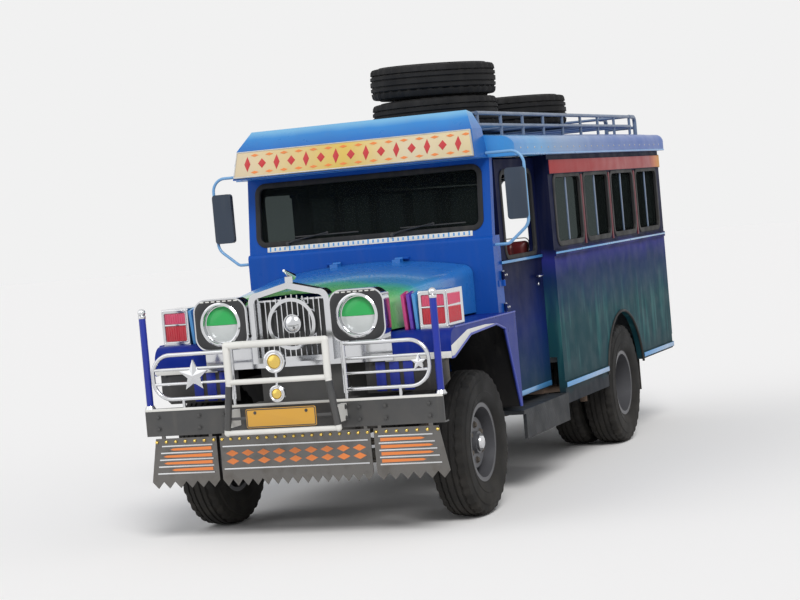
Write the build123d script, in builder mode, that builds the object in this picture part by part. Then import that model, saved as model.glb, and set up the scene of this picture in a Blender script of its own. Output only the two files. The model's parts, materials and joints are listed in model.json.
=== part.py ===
from build123d import *
import math
import os

# A jeepney in millimetres. The nose faces -Y, +X is the driver's side and Z is the height over the road.
os.makedirs("parts", exist_ok=True)

# Stations along the vehicle. The finished pieces are moved back by shift_y, which puts the
# origin on the ground under the middle of the whole vehicle.
shift_y = 300
bumper_face_y = -2960
bumper_back_y = -2900
grille_back_y = -2780
hood_front_y = -2770
front_axle_y = -2280
fender_rear_y = -1640
firewall_y = -1640
cab_front_y = -1505
door_front_y = -1500
door_rear_y = -723
body_front_y = -715
rear_axle_y = 750
wall_rear_y = 2100
body_rear_y = 2140
roof_rear_y = 2180
tail_y = 2505

# Heights over the road
rail_low, rail_high = 560, 690
floor_top = 725
sill_z = 530
skirt_z, tail_skirt_z, rear_sill_z = 430, 520, 620
seat_z = 1060
fender_z = 1080
belt_z = 1370
cowl_z = 1530
eave_z = 1985
crown_z = 2165

# Half widths: the cab is narrower than the passenger body behind it
rail_inner, rail_outer = 297, 372
cab_in, cab_half = 745, 785
cab_floor_half = 738
body_in, body_half = 830, 870
roof_half = 905
bumper_half = 880

# Wheels: front ones steer about upright pins, rear ones are twins on both sides of twin_x
wheel_r = 405
tyre_half_w = 107
bead_r = 205
king_pin_x = 628
front_wheel_x = king_pin_x + 132
twin_x = 635
rear_inner_x, rear_outer_x = twin_x - 120, twin_x + 120
king_pin_r = 16
spindle_r = 28
rear_spindle_r = 36
running_gap = 0.5

# Springs sit on pads over the axles, between cheeks that hang from the rails
spring_x, spring_half_w = 335, 32
front_spring, rear_spring = 540, 560
leaf_t, leaf_count = 10, 4
spring_end_z = 528
front_pad_z, rear_pad_z = 430, 462


def block(x, y, z, mode=Mode.ADD):
    """A rectangular block between two limits on each axis, in the current part."""
    centre = tuple((low + high) / 2 for low, high in (x, y, z))
    with Locations(centre):
        Box(*[high - low for low, high in (x, y, z)], mode=mode)


def facing_front(y):
    """An upright plane across the vehicle, in X and Z, whose normal points forward."""
    return Plane(origin=(0, y, 0), x_dir=(1, 0, 0), z_dir=(0, -1, 0))


def bar(start, end, radius):
    """A straight round bar."""
    run = Vector(end) - Vector(start)
    with BuildPart() as straight:
        with BuildSketch(Plane(origin=start, z_dir=run)):
            Circle(radius)
        extrude(amount=run.length)
    return straight.part


def tube(points, radius, bend):
    """A round bar of straight runs joined by bends."""
    with BuildPart() as bent:
        with BuildLine() as path:
            FilletPolyline(*points, radius=bend)
        with BuildSketch(Plane(origin=path.line @ 0, z_dir=path.line % 0)):
            Circle(radius)
        sweep(path=path.line)
    return bent.part


def keep(builder, name):
    """Move a finished piece to the shared origin, label it and write its file."""
    piece = builder.part.moved(Location((0, shift_y, 0)))
    piece.label = name
    export_step(piece, f"parts/{name}.step")


def mirrored(x_low, x_high):
    """The limits of a block on the driver's side and of its twin on the other side."""
    return ((x_low, x_high), (-x_high, -x_low))


# Ladder frame: channel rails open towards each other, with flat cross members
cross_members = (-2860, -1010, -350, 130, 1370, 2120)
rail_end_y = 2160
cross_half = 30
with BuildPart() as frame:
    with BuildSketch(facing_front(rail_end_y)):
        web, flange = 8, 8
        for side in (1, -1):
            Polygon(
                (side * rail_inner, rail_low),
                (side * rail_outer, rail_low),
                (side * rail_outer, rail_high),
                (side * rail_inner, rail_high),
                (side * rail_inner, rail_high - flange),
                (side * (rail_outer - web), rail_high - flange),
                (side * (rail_outer - web), rail_low + flange),
                (side * rail_inner, rail_low + flange),
                align=None,
            )
    extrude(amount=rail_end_y - bumper_back_y)
    for y in cross_members:
        block((-rail_outer + 4, rail_outer - 4), (y - cross_half, y + cross_half), (645, rail_high))
    # Cheeks that hold the spring eyes: axle place and half length of its springs
    for axle_y, half_length in ((front_axle_y, front_spring), (rear_axle_y, rear_spring)):
        for end in (-1, 1):
            eye_y = axle_y + end * half_length
            for x in (spring_x - spring_half_w - 10, spring_x + spring_half_w):
                for limits in mirrored(x, x + 10):
                    block(limits, (eye_y - 28, eye_y + 28), (504, rail_low))
    # Eye plates at the tail ends of the rails, for a rope or a draw pin
    tow_x, tow_y, tow_hole_r = 340, rail_end_y + 82, 16
    for side in (1, -1):
        block(
            sorted((side * (tow_x - 42), side * (tow_x + 32))),
            (rail_end_y - 80, tow_y + 38),
            (600, 624),
        )
        with Locations((side * tow_x, tow_y, 612)):
            Cylinder(tow_hole_r, 40, mode=Mode.SUBTRACT)
keep(frame, "frame")


# Leaf springs: concentric strips, the longest on top
with BuildPart() as leaf_springs:
    # Axle place, half length, height of the pad that the pack sits on
    for axle_y, half_length, pad_z in (
        (front_axle_y, front_spring, front_pad_z),
        (rear_axle_y, rear_spring, rear_pad_z),
    ):
        top_z = pad_z + leaf_t * leaf_count
        rise = spring_end_z - top_z
        arc_r = (half_length**2 + rise**2) / (2 * rise)
        with BuildSketch(Plane.YZ.offset(spring_x - spring_half_w)):
            for leaf in range(leaf_count):
                inner_r = arc_r + leaf * leaf_t - 0.5
                outer_r = arc_r + (leaf + 1) * leaf_t
                swing = math.asin(half_length * (1 - 0.22 * leaf) / arc_r)
                corners = [
                    (axle_y + r * math.sin(a), top_z + arc_r - r * math.cos(a))
                    for r in (inner_r, outer_r)
                    for a in (-swing, 0, swing)
                ]
                with BuildLine():
                    ThreePointArc(*corners[:3])
                    Line(corners[2], corners[5])
                    ThreePointArc(*corners[3:])
                    Line(corners[3], corners[0])
                make_face()
            with Locations(
                (axle_y - half_length, spring_end_z - 8), (axle_y + half_length, spring_end_z - 8)
            ):
                Circle(18)
        extrude(amount=2 * spring_half_w)
    mirror(about=Plane.YZ)
keep(leaf_springs, "leaf_springs")


# Front axle: dropped I-beam with a bored boss at each end for the upright pin
beam_half_y = 30
with BuildPart() as front_axle:
    beam = [(0, 320), (380, 320), (540, 367), (king_pin_x, 367)]
    beam += [(king_pin_x, 443), (525, 443), (400, 396), (0, 396)]
    pocket = [(0, 336), (372, 336), (532, 383), (580, 383), (580, 427), (530, 427), (406, 380), (0, 380)]
    with BuildSketch(facing_front(front_axle_y)):
        Polygon(*beam, align=None)
    extrude(amount=beam_half_y, both=True)
    for face_y, depth in ((front_axle_y - 10, 20), (front_axle_y + 10, -20)):
        with BuildSketch(facing_front(face_y)):
            Polygon(*pocket, align=None)
        extrude(amount=depth, mode=Mode.SUBTRACT)
    block(
        (spring_x - spring_half_w, spring_x + spring_half_w),
        (front_axle_y - 70, front_axle_y + 70),
        (390, front_pad_z),
    )
    with Locations((king_pin_x, front_axle_y, wheel_r)):
        Cylinder(34, 110)
        Cylinder(king_pin_r + running_gap, 120, mode=Mode.SUBTRACT)
    mirror(about=Plane.YZ)
keep(front_axle, "front_axle")


# Rear axle: tube, round gear housing, brake plates, spindles of the twin wheels and the drive shaft
shaft_front = (0, -1124, 590)
shaft_rear = (0, rear_axle_y - 260, wheel_r + 16)
with BuildPart() as rear_axle:
    with BuildSketch(Plane.XZ.offset(-rear_axle_y)):
        Polygon(
            (0, wheel_r),
            (0, wheel_r + 150),
            (60, wheel_r + 140),
            (130, wheel_r + 90),
            (180, wheel_r + 50),
            (twin_x - 210, wheel_r + 50),
            (twin_x - 210, wheel_r + 148),
            (twin_x - 200, wheel_r + 148),
            (twin_x - 200, wheel_r + 50),
            (twin_x - 80, wheel_r + 50),
            (twin_x - 80, wheel_r + rear_spindle_r),
            (twin_x + 110, wheel_r + rear_spindle_r),
            (twin_x + 110, wheel_r),
            align=None,
        )
    revolve(axis=Axis((0, rear_axle_y, wheel_r), (1, 0, 0)))
    mirror(about=Plane.YZ)
    block(
        (spring_x - spring_half_w, spring_x + spring_half_w),
        (rear_axle_y - 60, rear_axle_y + 60),
        (420, rear_pad_z),
    )
    block(
        (-spring_x - spring_half_w, -spring_x + spring_half_w),
        (rear_axle_y - 60, rear_axle_y + 60),
        (420, rear_pad_z),
    )
    # Drive shaft from the gearbox, with a fork at each end
    add(bar((0, rear_axle_y - 100, wheel_r), shaft_rear, 55))
    add(bar(shaft_front, shaft_rear, 34))
    add(bar(shaft_front, (0, -1064, 585), 50))
keep(rear_axle, "rear_axle")


# Engine and gearbox as one plain block on two arms, with the radiator in front of it
with BuildPart() as engine:
    block((-230, 230), (-2640, -1720), (500, 1040))
    block((-160, 160), (-1720, -1130), (500, 640))
    block((-rail_inner, rail_inner), (-2050, -1980), (580, 640))
    block((-250, 250), (-2750, -2700), (700, 1290))
    block((-rail_inner, rail_inner), (-2750, -2700), (700, 740))
keep(engine, "engine")


# Fuel tank slung under the floor by two straps
with BuildPart() as fuel_tank:
    block((-810, -400), (-560, 170), (400, 630))
    fillet(fuel_tank.edges().filter_by(Axis.Y), radius=45)
    for y in (-410, 20):
        block((-810, -780), (y - 20, y + 20), (540, 690))
        block((-430, -400), (y - 20, y + 20), (540, 690))
keep(fuel_tank, "fuel_tank")


# Exhaust: pipe from the engine's side, silencer, and an outlet that turns down ahead of the rear wheel
with BuildPart() as exhaust:
    down_pipe = [(230, -1850, 540), (272, -1850, 540), (272, -1700, 455), (272, -1600, 450)]
    add(tube(down_pipe + [(470, -1150, 450), (470, -740, 450)], 24, [30, 60, 60, 60]))
    outlet = [(470, -160, 450), (470, 60, 450), (600, 160, 450), (720, 160, 450), (720, 160, 350)]
    add(tube(outlet, 24, [60, 60, 50]))
    with Locations(Location((470, -450, 450), (90, 0, 0))):
        Cylinder(75, 600)
    for y in (-640, -260):
        block((462, 478), (y - 10, y + 10), (500, 690))
keep(exhaust, "exhaust")


# Floor with wheel boxes, bench bases and the base of the front seat
seat_box_z = 960
wheel_box = ((378, body_in), (rear_axle_y - 490, rear_axle_y + 490), (690, 925))
sheet = 20
bench_x = 440
with BuildPart() as floor:
    block((-cab_floor_half, cab_floor_half), (-1610, body_front_y + 40), (690, floor_top))
    block((-body_in, body_in), (body_front_y + 40, wall_rear_y), (690, floor_top))
    for limits in mirrored(bench_x, bench_x + sheet):
        block(limits, (-600, wall_rear_y), (floor_top, seat_z - sheet))
    for limits in mirrored(bench_x, body_in):
        block(limits, (-600, wall_rear_y), (seat_z - sheet, seat_z))
        block(limits, (-600, -600 + sheet), (floor_top, seat_z - sheet))
    for limits in mirrored(*wheel_box[0]):
        block(limits, wheel_box[1], wheel_box[2])
    for limits in mirrored(wheel_box[0][0] + sheet, body_in):
        block(
            limits,
            (wheel_box[1][0] + sheet, wheel_box[1][1] - sheet),
            (680, wheel_box[2][1] - sheet),
            mode=Mode.SUBTRACT,
        )
    block((-735, 735), (-1150, -660), (floor_top, seat_box_z))
    block((-715, 715), (-1130, -680), (floor_top, seat_box_z - sheet), mode=Mode.SUBTRACT)
keep(floor, "floor")


# Cowl: firewall, scuttle box, hinge posts, dashboard, column and the raked windscreen frame
rake = 8
glass_w, glass_h, glass_corner = 1420, 350, 45
screen_mid = 235
screen_plane = Plane(
    origin=(0, -1620, cowl_z),
    x_dir=(1, 0, 0),
    z_dir=(0, -math.cos(math.radians(rake)), math.sin(math.radians(rake))),
)
column_low, column_high = Vector(370, -1620, 1100), Vector(370, -1250, 1330)
column_axis = (column_high - column_low).normalized()
hood_hinge_y, hood_hinge_z = -1652, 1440
with BuildPart() as cowl:
    block((-cab_half, cab_half), (firewall_y, firewall_y + 30), (fender_z, cowl_z))
    block((-cab_in, cab_in), (firewall_y, firewall_y + 30), (700, fender_z))
    block((-cab_half, cab_half), (firewall_y, cab_front_y), (cowl_z - 30, cowl_z))
    block((-cab_in, cab_in), (-1530, cab_front_y), (1200, cowl_z))
    for limits in mirrored(cab_in, cab_half):
        block(limits, (firewall_y, cab_front_y), (sill_z + 20, cowl_z))
    fillet(
        cowl.edges().filter_by(Axis.X).group_by(Axis.Z)[-1].sort_by(Axis.Y)[:1], radius=25
    )
    with BuildSketch(screen_plane):
        with Locations((0, screen_mid)):
            Rectangle(2 * cab_half - 10, 530)
        with Locations((0, screen_mid)):
            RectangleRounded(glass_w, glass_h, glass_corner, mode=Mode.SUBTRACT)
    extrude(amount=-50)
    split(bisect_by=Plane.XY.offset(eave_z), keep=Keep.BOTTOM)
    add(bar(column_low, column_high, 28))
    # Fixed halves of the door hinges, just ahead of the doors
    hinge_x, hinge_y, hinge_r = cab_half + 11, -1530, 10
    hinge_zs = (800, 1100, 1290)
    for side in (1, -1):
        for z in hinge_zs:
            block(
                sorted((side * (cab_half - 5), side * (cab_half + 6))), (-1600, -1532), (z - 62, z - 27)
            )
            with Locations((side * hinge_x, hinge_y, z - 44.5)):
                Cylinder(hinge_r, 35)
    # Fixed halves of the hood hinges
    for limits in mirrored(228, 262):
        block(limits, (hood_hinge_y, firewall_y), (hood_hinge_z - 8, hood_hinge_z + 8))
        with Locations(Location((sum(limits) / 2, hood_hinge_y, hood_hinge_z), (0, 90, 0))):
            Cylinder(8, 34)
    # Bore for the steering shaft
    add(
        bar(column_high - column_axis * 80, column_high + column_axis * 5, 12 + running_gap),
        mode=Mode.SUBTRACT,
    )
keep(cowl, "cowl")


# Passenger body sides with low skirts: windows, wheel arches, a belt bead, an eaves band and a rub rail
window_count, window_w, window_h, window_z = 4, 580, 420, 1640
window_pitch = 672
window_y0 = -316
window_ys = [window_y0 + i * window_pitch for i in range(window_count)]
arch_r = 470
band_z = (1862, 1955)
rub_rail_h = 36


def side_wall(outward):
    """One side of the passenger body. outward is 1 on the driver's side and -1 on the other."""
    with BuildPart() as wall:
        with BuildSketch(Plane.YZ.offset(body_in)):
            Polygon(
                (body_front_y, skirt_z),
                (rear_axle_y, skirt_z),
                (rear_axle_y, tail_skirt_z),
                (wall_rear_y, tail_skirt_z),
                (wall_rear_y, eave_z),
                (body_front_y, eave_z),
                align=None,
            )
            with Locations((rear_axle_y, wheel_r + 20)):
                Circle(arch_r, mode=Mode.SUBTRACT)
            with Locations(*[(y, window_z) for y in window_ys]):
                RectangleRounded(window_w, window_h, 50, mode=Mode.SUBTRACT)
        extrude(amount=body_half - body_in)
        # Door pillar that steps in to the narrower cab
        block((cab_in, body_in), (body_front_y, body_front_y + 40), (floor_top, eave_z))
        block((body_half, body_half + 12), (body_front_y, wall_rear_y), (belt_z - 18, belt_z + 18))
        block((body_half, body_half + 12), (body_front_y, wall_rear_y), band_z)
        # The rub rail stops short of the wheel arch
        for limits in ((body_front_y, rear_axle_y - arch_r), (rear_axle_y + arch_r, wall_rear_y)):
            block((body_half, body_half + 10), limits, (sill_z, sill_z + rub_rail_h))
        if outward < 0:
            mirror(about=Plane.YZ, mode=Mode.REPLACE)
    return wall


side_wall_left = side_wall(1)
keep(side_wall_left, "side_wall_left")
side_wall_right = side_wall(-1)
keep(side_wall_right, "side_wall_right")


# Rear wall with the open entrance and a window on each side of it
entrance_half, entrance_top = 380, 1880
rear_window = (625, window_z)
rear_window_w, rear_window_h = 350, window_h
with BuildPart() as rear_wall:
    with BuildSketch(facing_front(body_rear_y)):
        Polygon(
            (-body_half, rear_sill_z),
            (body_half, rear_sill_z),
            (body_half, eave_z),
            (-body_half, eave_z),
            align=None,
        )
        with Locations((0, (rear_sill_z + entrance_top) / 2 - 50)):
            RectangleRounded(
                2 * entrance_half, entrance_top - rear_sill_z + 100, 80, mode=Mode.SUBTRACT
            )
        with Locations(rear_window, (-rear_window[0], rear_window[1])):
            RectangleRounded(rear_window_w, rear_window_h, 50, mode=Mode.SUBTRACT)
    extrude(amount=40)
    fillet(
        rear_wall.edges().filter_by(Axis.Z).group_by(Axis.Y)[-1].sort_by(Axis.X)[:1]
        + rear_wall.edges().filter_by(Axis.Z).group_by(Axis.Y)[-1].sort_by(Axis.X)[-1:],
        radius=30,
    )
keep(rear_wall, "rear_wall")


# Window panes, set halfway into the walls
pane_t, pane_x = 5, 850
with BuildPart() as window_glass:
    with BuildSketch(screen_plane.offset(-22)):
        with Locations((0, screen_mid)):
            RectangleRounded(glass_w, glass_h, glass_corner)
    extrude(amount=-pane_t)
    with BuildSketch(Plane.YZ.offset(pane_x)):
        with Locations(*[(y, window_z) for y in window_ys]):
            RectangleRounded(window_w, window_h, 50)
    extrude(amount=pane_t)
    with BuildSketch(Plane.YZ.offset(-pane_x - pane_t)):
        with Locations(*[(y, window_z) for y in window_ys]):
            RectangleRounded(window_w, window_h, 50)
    extrude(amount=pane_t)
    with BuildSketch(facing_front(wall_rear_y + 20)):
        with Locations(rear_window, (-rear_window[0], rear_window[1])):
            RectangleRounded(rear_window_w, rear_window_h, 50)
    extrude(amount=pane_t)
keep(window_glass, "window_glass")


# Roof: a crowned skin between rolled eaves, solid over the windscreen and over the rear wall
roof_side_z = 2055
roof_shoulder = (840, 2105)
roof_mid_arc = (889, 2089)
roof_cavity, cavity_side_z, skin_t = 815, 2050, 35
roof_corner_r, roof_plan_half = 140, roof_half + 4
crown_rise = crown_z - roof_shoulder[1]
crown_r = (roof_shoulder[0] ** 2 + crown_rise**2) / (2 * crown_rise)
header_front_y, header_back_y = -1556, -1506


def roof_top(x):
    """Height of the roof's outer skin at a distance from the centre line."""
    return crown_z - crown_r + math.sqrt(crown_r**2 - x**2)


with BuildPart() as roof:
    with BuildSketch(facing_front(roof_rear_y)):
        with BuildLine():
            Polyline(
                (-roof_half, roof_side_z),
                (-roof_half, eave_z),
                (roof_half, eave_z),
                (roof_half, roof_side_z),
            )
            ThreePointArc((roof_half, roof_side_z), roof_mid_arc, roof_shoulder)
            ThreePointArc(roof_shoulder, (0, crown_z), (-roof_shoulder[0], roof_shoulder[1]))
            ThreePointArc(
                (-roof_shoulder[0], roof_shoulder[1]),
                (-roof_mid_arc[0], roof_mid_arc[1]),
                (-roof_half, roof_side_z),
            )
        make_face()
    extrude(amount=roof_rear_y - header_front_y)
    with BuildSketch(facing_front(wall_rear_y)):
        with BuildLine():
            Polyline(
                (-roof_cavity, cavity_side_z),
                (-roof_cavity, eave_z - 10),
                (roof_cavity, eave_z - 10),
                (roof_cavity, cavity_side_z),
            )
            ThreePointArc((roof_cavity, cavity_side_z), (0, crown_z - skin_t), (-roof_cavity, cavity_side_z))
        make_face()
    extrude(amount=wall_rear_y - header_back_y, mode=Mode.SUBTRACT)
    # Rails over the doors, where the cab is narrower than the roof
    for limits in mirrored(735, 820):
        block(limits, (header_front_y, body_front_y + 40), (eave_z, 2085))
    # Front corners rounded in plan, running out into the sides at a slight angle
    with BuildSketch(Plane.XY.offset(eave_z - 10)) as outline:
        Polygon(
            (-roof_plan_half, header_front_y),
            (roof_plan_half, header_front_y),
            (roof_plan_half, roof_rear_y),
            (-roof_plan_half, roof_rear_y),
            align=None,
        )
        fillet(outline.vertices().group_by(Axis.Y)[0], radius=roof_corner_r)
    extrude(amount=300, mode=Mode.INTERSECT)
keep(roof, "roof")


# Visor: a box over the windscreen with a leaning face for the sign, narrower towards its top
visor_front_y, visor_low_z = -1778, 1988
visor_knee_y, visor_knee_z = -1738, 2160
visor_halves = ((1980, 775), (visor_knee_z, 750), (2290, 680))
with BuildPart() as visor:
    with BuildSketch(Plane.YZ.offset(-visor_halves[0][1])):
        Polygon(
            (visor_front_y, visor_low_z),
            (header_front_y, visor_low_z),
            (header_front_y, 2258),
            (-1630, 2272),
            (visor_knee_y, visor_knee_z),
            align=None,
        )
    extrude(amount=2 * visor_halves[0][1])
    with BuildSketch(facing_front(-1500)):
        Polygon(
            *[(-half, z) for z, half in visor_halves],
            *[(half, z) for z, half in reversed(visor_halves)],
            align=None,
        )
    extrude(amount=300, mode=Mode.INTERSECT)
keep(visor, "visor")

sign_plane = Plane(
    origin=(0, visor_front_y, visor_low_z),
    x_dir=(1, 0, 0),
    z_dir=Vector(0, visor_low_z - visor_knee_z, visor_knee_y - visor_front_y),
)
# Blank boards: the destination sign on the visor and the number plate in the centre guard
guard_y = -3085
plate_y = guard_y - 8
with BuildPart() as sign_plates:
    with BuildSketch(sign_plane):
        Polygon((-765, 10), (765, 10), (744, 170), (-744, 170), align=None)
    extrude(amount=14)
    block((-205, 205), (plate_y, plate_y + 5), (634, 738))
    for limits in mirrored(200, 296):
        block(limits, (plate_y + 5, plate_y + 10), (680, 696))
keep(sign_plates, "sign_plates")


# Roof rack and its ladder: feet, cross bars, side runners, posts and a top rail
rack_half, rack_front_y, rack_rear_y = 690, -1440, 2060
rack_floor_z, rack_rail_z = 2185, 2256
rack_bar_r, rack_slat_r = 12, 10
ladder_xs, ladder_y = (470, rack_half), body_rear_y + 80
rack_bays = 8
rack_pitch = (rack_rear_y - rack_front_y) / rack_bays
rack_cross_ys = [rack_front_y + i * rack_pitch for i in range(rack_bays + 1)]
with BuildPart() as roof_rack:
    bars = []
    for y in rack_cross_ys:
        bars.append(bar((-rack_half, y, rack_floor_z), (rack_half, y, rack_floor_z), rack_slat_r))
        for x in (-rack_half, rack_half):
            bars.append(bar((x, y, roof_top(rack_half - 10)), (x, y, rack_rail_z), rack_slat_r))
    for x in (-rack_half, rack_half):
        for z in (rack_floor_z, rack_rail_z):
            bars.append(bar((x, rack_front_y - 14, z), (x, rack_rear_y + 14, z), rack_bar_r))
    for y in (rack_front_y, rack_rear_y):
        bars.append(bar((-rack_half, y, rack_rail_z), (rack_half, y, rack_rail_z), rack_slat_r))
    # Ladder up the tail to the rack
    for x in ladder_xs:
        bars.append(
            tube([(x, ladder_y, 720), (x, ladder_y, rack_rail_z), (x, rack_rear_y, rack_rail_z)], 15, 45)
        )
        for z in (900, 1900):
            bars.append(bar((x, body_rear_y, z), (x, ladder_y, z), 11))
    for i in range(6):
        rung_z = 800 + i * 275
        bars.append(bar((ladder_xs[0], ladder_y, rung_z), (ladder_xs[1], ladder_y, rung_z), 11))
    add(bars)
keep(roof_rack, "roof_rack")


# Tyre carcass, a hollow ring about its own Z axis
with BuildPart() as tyre_ring:
    with BuildSketch(Plane.XZ):
        Polygon(
            (bead_r, 74),
            (228, 74),
            (300, tyre_half_w),
            (375, 95),
            (wheel_r, 72),
            (wheel_r, -72),
            (375, -95),
            (300, -tyre_half_w),
            (228, -74),
            (bead_r, -74),
            (bead_r, -54),
            (300, -91),
            (386, -64),
            (386, 64),
            (300, 91),
            (bead_r, 54),
            align=None,
        )
    revolve(axis=Axis.Z)
tyre_shape = tyre_ring.part

# Spare tyres on the rack: place of each centre, and its tilt about X and Y
rack_deck_z = rack_floor_z + rack_bar_r + 0.5
spare_places = (
    ((65, -420, rack_deck_z + tyre_half_w + 0.5), (0, 0, 0)),
    ((60, -400, rack_deck_z + 3 * tyre_half_w + 10), (0.6, 1.5, 0)),
    ((250, 500, rack_deck_z + tyre_half_w + 0.5), (0, 0, 0)),
)
with BuildPart() as spare_tyres:
    for place, tilt in spare_places:
        with Locations(Location(place, tilt)):
            add(tyre_shape)
keep(spare_tyres, "spare_tyres")


# Doors: a panel with a window and the moving halves of its hinges
door_window_w, door_window_h, door_window_z = 590, 500, 1640
door_top = 1972


def door(outward):
    """One front door. outward is 1 on the driver's side and -1 on the other."""
    with BuildPart() as leaf:
        with BuildSketch(Plane.YZ.offset(cab_in)):
            Polygon(
                (door_front_y, sill_z + 22),
                (door_rear_y, sill_z + 22),
                (door_rear_y, door_top),
                (door_front_y, door_top),
                align=None,
            )
            with Locations(((door_front_y + door_rear_y) / 2, door_window_z)):
                RectangleRounded(door_window_w, door_window_h, 50, mode=Mode.SUBTRACT)
        extrude(amount=cab_half - cab_in)
        block((cab_half, cab_half + 10), (door_front_y, door_rear_y), (belt_z - 18, belt_z + 6))
        for z in hinge_zs:
            block((cab_half, cab_half + 7), (door_front_y, -1430), (z - 18, z + 18))
            block((cab_half + 2, cab_half + 7), (hinge_y, door_front_y), (z - 18, z + 18))
            with Locations((hinge_x, hinge_y, z)):
                Cylinder(hinge_r, 50)
        # Handle
        block((cab_half, cab_half + 30), (-830, -805), (1235, 1255))
        block((cab_half + 18, cab_half + 30), (-920, -805), (1235, 1255))
        if outward < 0:
            mirror(about=Plane.YZ, mode=Mode.REPLACE)
    return leaf


door_left = door(1)
keep(door_left, "door_left")
door_right = door(-1)
keep(door_right, "door_right")


# Hood: a crowned lid with deep sides, hinged along its rear edge
hood_rear_y = firewall_y - 8
hood_wall = 18
# Station, half width, shoulder height and crown height of the front and rear sections
hood_sections = ((hood_front_y, 535, 1262, 1340), (hood_rear_y, 650, 1365, 1430))
with BuildPart() as hood:
    for y, half, shoulder, crown in hood_sections:
        with BuildSketch(facing_front(y)) as section:
            with BuildLine():
                Polyline((-half, shoulder), (-half, fender_z + 12), (half, fender_z + 12), (half, shoulder))
                ThreePointArc((half, shoulder), (0, crown), (-half, shoulder))
            make_face()
            fillet(section.vertices().sort_by(Axis.Y)[-2:], radius=60)
    loft()
    for y, half, shoulder, crown in hood_sections:
        with BuildSketch(facing_front(y)) as section:
            inner = half - hood_wall
            with BuildLine():
                Polyline(
                    (-inner, shoulder),
                    (-inner, fender_z - 20),
                    (inner, fender_z - 20),
                    (inner, shoulder),
                )
                ThreePointArc((inner, shoulder), (0, crown - hood_wall), (-inner, shoulder))
            make_face()
            fillet(section.vertices().sort_by(Axis.Y)[-2:], radius=50)
    loft(mode=Mode.SUBTRACT)
    # The lower front corners lean back so that they clear the grille as the hood lifts
    with BuildSketch(Plane.YZ.offset(-700)):
        Polygon((-2790, 1000), (-2708, 1000), (hood_front_y, 1330), (-2790, 1330), align=None)
    extrude(amount=1400, mode=Mode.SUBTRACT)
    for limits in mirrored(175, 225):
        block(limits, (-1710, hood_hinge_y), (1408, hood_hinge_z - 2))
        with Locations(Location((sum(limits) / 2, hood_hinge_y, hood_hinge_z), (0, 90, 0))):
            Cylinder(8, 50)
keep(hood, "hood")


# Fenders: flat tops with a turned-down lip, a sloping tail and an inner apron
fender_in, fender_half = 500, 885
fender_t = 14
arch_line = [
    (-1668, sill_z),
    (-1850, 1000),
    (-2000, 1038),
    (-2450, 1020),
    (-2740, 925),
]
with BuildPart() as fenders:
    with BuildSketch(Plane.YZ.offset(fender_half - fender_t)):
        with BuildLine():
            Polyline((-2780, 925), (-2780, 1000))
            ThreePointArc((-2780, 1000), (-2756.5, 1056.5), (-2700, fender_z))
            Polyline((-2700, fender_z), (fender_rear_y, fender_z), (fender_rear_y, sill_z), *arch_line)
            Line(arch_line[-1], (-2780, 925))
        make_face()
    extrude(amount=fender_t)
    # Rolled front, flat top and tail plate across the fender's width
    with BuildSketch(Plane.YZ.offset(fender_in)):
        with BuildLine():
            Line((-2780, 925), (-2780, 1000))
            ThreePointArc((-2780, 1000), (-2756.5, 1056.5), (-2700, fender_z))
            Polyline(
                (-2700, fender_z),
                (fender_rear_y, fender_z),
                (fender_rear_y, fender_z - fender_t),
                (-2700, fender_z - fender_t),
            )
            ThreePointArc((-2700, fender_z - fender_t), (-2746.5, 1046.5), (-2766, 1000))
            Polyline((-2766, 1000), (-2766, 925), (-2780, 925))
        make_face()
        Polygon(
            (-1835, fender_z - 5),
            (-1820, fender_z - 5),
            (-1652, sill_z),
            (-1668, sill_z),
            align=None,
        )
    extrude(amount=fender_half - fender_in)
    block((fender_in, fender_in + fender_t), (-2760, fender_rear_y), (850, fender_z))
    # Upright slanted fins between the headlamp and the side lamp
    for x in (600, 632, 664):
        with BuildSketch(Plane.YZ.offset(x)):
            Polygon(
                (-2690, fender_z - 5),
                (-2590, fender_z - 5),
                (-2640, 1285),
                (-2720, 1270),
                align=None,
            )
        extrude(amount=14)
    mirror(about=Plane.YZ)
keep(fenders, "fenders")


# Grille: front panel, peaked radiator shell, upright slats and a plain ring
grille_front_y = -2860
lamp_x, lamp_z = 405, 1190
with BuildPart() as grille_shell:
    with BuildSketch(facing_front(grille_back_y)):
        Polygon((-555, 930), (555, 930), (555, 1300), (-555, 1300), align=None)
        with Locations((0, 1130)):
            Rectangle(400, 320, mode=Mode.SUBTRACT)
    extrude(amount=20)
    with BuildSketch(facing_front(grille_back_y - 10)):
        with BuildLine():
            Polyline((-240, 1290), (-240, 960), (240, 960), (240, 1290))
            ThreePointArc((240, 1290), (225, 1330), (180, 1348))
            Line((180, 1348), (0, 1392))
            Line((0, 1392), (-180, 1348))
            ThreePointArc((-180, 1348), (-225, 1330), (-240, 1290))
        make_face()
        with BuildLine():
            Polyline((-208, 1280), (-208, 990), (208, 990), (208, 1280))
            ThreePointArc((208, 1280), (196, 1308), (165, 1320))
            Line((165, 1320), (0, 1358))
            Line((0, 1358), (-165, 1320))
            ThreePointArc((-165, 1320), (-196, 1308), (-208, 1280))
        make_face(mode=Mode.SUBTRACT)
    extrude(amount=grille_back_y - 10 - grille_front_y)
    # Slats and the ring that they carry
    slat_ys = (-2815, -2803)
    for i in range(13):
        x = -192 + i * 32
        block((x - 3, x + 3), slat_ys, (985, 1325 - abs(x) * 0.2))
    with BuildSketch(facing_front(-2803)):
        with Locations((0, 1165)):
            Circle(142)
            Circle(122, mode=Mode.SUBTRACT)
    extrude(amount=42)
    with BuildSketch(facing_front(-2803)):
        with Locations((0, 1165)):
            Circle(52)
    extrude(amount=30)
    # Ornament on the peak: a plain tapered finger on a round foot
    with Locations((0, -2825, 1402)):
        Cylinder(22, 40)
    with Locations(Location((0, -2825, 1438), (70, 0, 0))):
        Cone(20, 7, 120)
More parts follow.
